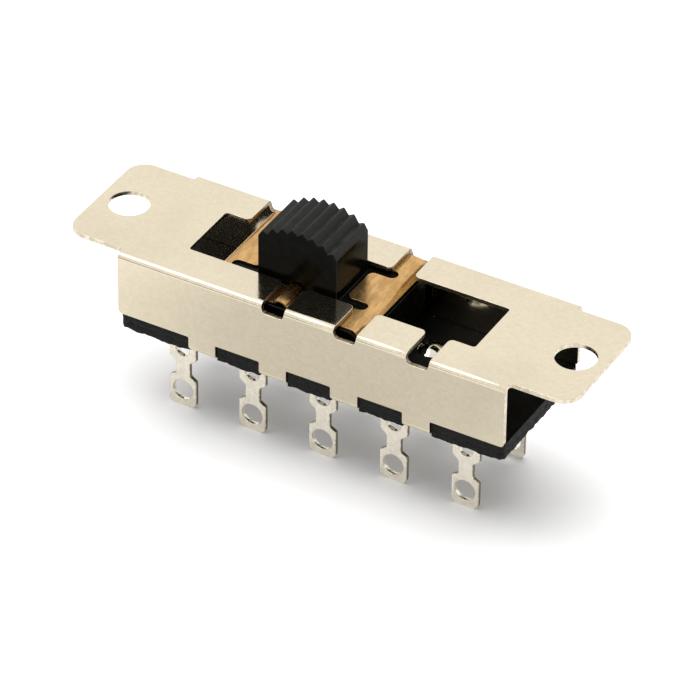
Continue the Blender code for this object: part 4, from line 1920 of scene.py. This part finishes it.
@dataclass
class Studio:
    """White floor under soft light, with a tent that mirrors white.

    In mirrors the floor carries painted shade: it is dim in an oval before the switch and dark far
    to its front left, and a painted glow lifts it.
    """

    layout: Layout
    floor_size: float = 3.0
    floor_color: Color = (0.9, 0.9, 0.9)
    floor_roughness: float = 0.9
    fibre: float = 0.2 * MM
    fibre_depth: float = 0.005 * MM
    floor_lift: float = 0.18
    # painted reflection: the floor's colour and glow as mirrors see them, and the painted shade of
    # the dim oval and the dark corner
    mirror_color: Color = (0.59, 0.59, 0.59)
    mirror_lift: float = 0.35
    dim_place: tuple[float, float] = (-4 * MM, -21 * MM)
    dim_reach: tuple[float, float] = (26 * MM, 13 * MM)
    dim_share: float = 0.36
    dark_left: tuple[float, float] = (-60 * MM, -14 * MM)
    dark_front: tuple[float, float] = (-80 * MM, -30 * MM)
    dark_share: float = 0.65
    tent: float = 1.0
    sky: float = 0.1
    key_size: float = 0.85
    key_power: float = 5.2
    key_place: Size = (-0.055, 0.105, 0.53)
    glint_size: float = 0.36
    glint_power: float = 0.43
    glint_place: Size = (-0.2, -0.14, 0.44)

    def mirrored_share(self, sheet: NodeSheet) -> bpy.types.NodeSocket:
        """Paint shade on the floor as mirrors see it, in the oval and in the corner.

        Args:
            sheet: node sheet of the floor.

        Returns:
            The share of the floor's light that mirrors show, after the painted shade.
        """
        split = sheet.add("ShaderNodeSeparateXYZ")
        sheet.plug(split.inputs[0], sheet.place)
        x, y = split.outputs["X"], split.outputs["Y"]
        dark = sheet.times(
            sheet.spread(x, self.dark_left, self.dark_share, 0.0),
            sheet.spread(y, self.dark_front, 1.0, 0.0),
        )
        off = [
            sheet.calc("DIVIDE", sheet.minus(place, middle), reach)
            for place, middle, reach in zip((x, y), self.dim_place, self.dim_reach)
        ]
        apart = sheet.plus(*(sheet.times(share, share) for share in off))
        dim = sheet.spread(apart, Band.WHOLE, self.dim_share, 0.0)
        return sheet.times(sheet.minus(1.0, dark), sheet.minus(1.0, dim))

    def floor(self) -> None:
        """Lay a matt paper floor that looks white and keeps the shadow; mirrors see it darker, with
        painted shade and a painted glow.
        """
        mesh = bpy.data.meshes.new("floor")
        half = self.floor_size / 2
        corners = [(-half, -half, 0), (half, -half, 0), (half, half, 0), (-half, half, 0)]
        mesh.from_pydata(corners, [], [(0, 1, 2, 3)])
        floor = placed("floor", mesh)
        sheet = NodeSheet("paper")
        path = sheet.add("ShaderNodeLightPath").outputs
        eye = path["Is Camera Ray"]
        mirror = sheet.calc("MAXIMUM", path["Is Glossy Ray"], path["Is Transmission Ray"])
        # painted reflection: mirrors see the floor with painted shade (share) and a painted glow
        # (mirror_lift), which the eye does not
        share = self.mirrored_share(sheet)
        mirrored = sheet.blend(share, BLACK, self.mirror_color)
        color = sheet.blend(eye, sheet.blend(mirror, self.floor_color, mirrored), WHITE)
        lift = sheet.times(sheet.times(mirror, share), self.mirror_lift)
        lift = sheet.plus(lift, sheet.times(eye, self.floor_lift))
        sheet.shader.inputs["Specular IOR Level"].default_value = 0.0
        sheet.shader.inputs["Emission Color"].default_value = (*WHITE, 1.0)
        sheet.plug(sheet.shader.inputs["Emission Strength"], lift)
        fibres = sheet.grain(self.fibre, Texture.FIBROUS)
        sheet.finish(color, self.floor_roughness, sheet.bump(fibres, self.fibre_depth))
        mesh.materials.append(sheet.material)

    def world(self) -> None:
        """White surroundings: white to the eye and in reflections, dimmer as a light."""
        world = bpy.data.worlds.new("tent")
        bpy.context.scene.world = world
        world.use_nodes = True
        tree = world.node_tree
        path = tree.nodes.new("ShaderNodeLightPath")
        seen: bpy.types.NodeSocket = path.outputs["Is Camera Ray"]
        for kind in ("Is Glossy Ray", "Is Transmission Ray"):
            either = tree.nodes.new("ShaderNodeMath")
            either.operation = "MAXIMUM"
            tree.links.new(seen, either.inputs[0])
            tree.links.new(path.outputs[kind], either.inputs[1])
            seen = either.outputs[0]
        level = tree.nodes.new("ShaderNodeMapRange")
        level.inputs["To Min"].default_value = self.sky
        level.inputs["To Max"].default_value = self.tent
        tree.links.new(seen, level.inputs["Value"])
        background = tree.nodes["Background"]
        background.inputs["Color"].default_value = (*WHITE, 1.0)
        tree.links.new(level.outputs["Result"], background.inputs["Strength"])

    def lamp(self, name: str, size: float, power: float, place: Size, mirrored: bool) -> None:
        """Hang a round soft lamp that faces the switch.

        Args:
            name: name of the lamp.
            size: its diameter.
            power: its power in watts.
            place: where it hangs.
            mirrored: whether polished surfaces mirror it.
        """
        data = bpy.data.lights.new(name, "AREA")
        data.shape = "DISK"
        data.size = size
        data.energy = power
        lamp = placed(name, data)
        lamp.location = place
        lamp.rotation_euler = Vector(place).to_track_quat("Z", "Y").to_euler()
        lamp.visible_glossy = mirrored

    def build(self) -> None:
        """Set up the floor, the tent, the overhead lamp and a small one for the folds' glints."""
        self.floor()
        self.world()
        self.lamp("key", self.key_size, self.key_power, self.key_place, mirrored=False)
        self.lamp("glint", self.glint_size, self.glint_power, self.glint_place, mirrored=True)
        bpy.context.scene.view_settings.view_transform = "Standard"
        LOG.info("studio ready")


@dataclass
class ViewCamera:
    """Long-lens camera that looks down on the switch from its front right."""

    layout: Layout
    azimuth: float = radians(29.298)
    elevation: float = radians(36.77)
    roll: float = radians(0.69)
    lens: float = 280.0
    sensor: float = 36.0
    distance: float = 420.3 * MM
    clip_start: float = 10 * MM
    aim: Size = (1.77 * MM, -2.79 * MM, -4.42 * MM)

    def build(self) -> bpy.types.Object:
        """Place the camera and make it the scene's.

        Returns:
            The camera's object.
        """
        sin_a, cos_a = sin(self.azimuth), cos(self.azimuth)
        sin_e, cos_e = sin(self.elevation), cos(self.elevation)
        back = Vector((sin_a * cos_e, -cos_a * cos_e, sin_e))
        right = Vector((cos_a, sin_a, 0))
        up = back.cross(right)
        tilted_right = right * cos(self.roll) + up * sin(self.roll)
        tilted_up = up * cos(self.roll) - right * sin(self.roll)
        data = bpy.data.cameras.new("camera")
        data.lens = self.lens
        data.sensor_width = self.sensor
        data.clip_start = self.clip_start
        camera = placed("camera", data)
        place = Vector(self.aim) + Vector((0, 0, self.layout.top)) + back * self.distance
        turn = Matrix((tilted_right, tilted_up, back)).transposed().to_4x4()
        camera.matrix_world = Matrix.Translation(place) @ turn
        bpy.context.scene.camera = camera
        return camera


def main() -> None:
    """Build the sub-assemblies and the studio in order."""
    logging.basicConfig(level=logging.INFO, format="%(name)s: %(message)s")
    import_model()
    layout = Layout()
    ViewCamera(layout).build()
    FrameShell(layout).build()
    BaseBoard(layout).build()
    Contacts(layout).build()
    SpringPlate(layout).build()
    RibbedSlider(layout).build()
    Bridges(layout).build()
    Studio(layout).build()


if __name__ == "__main__":
    main()
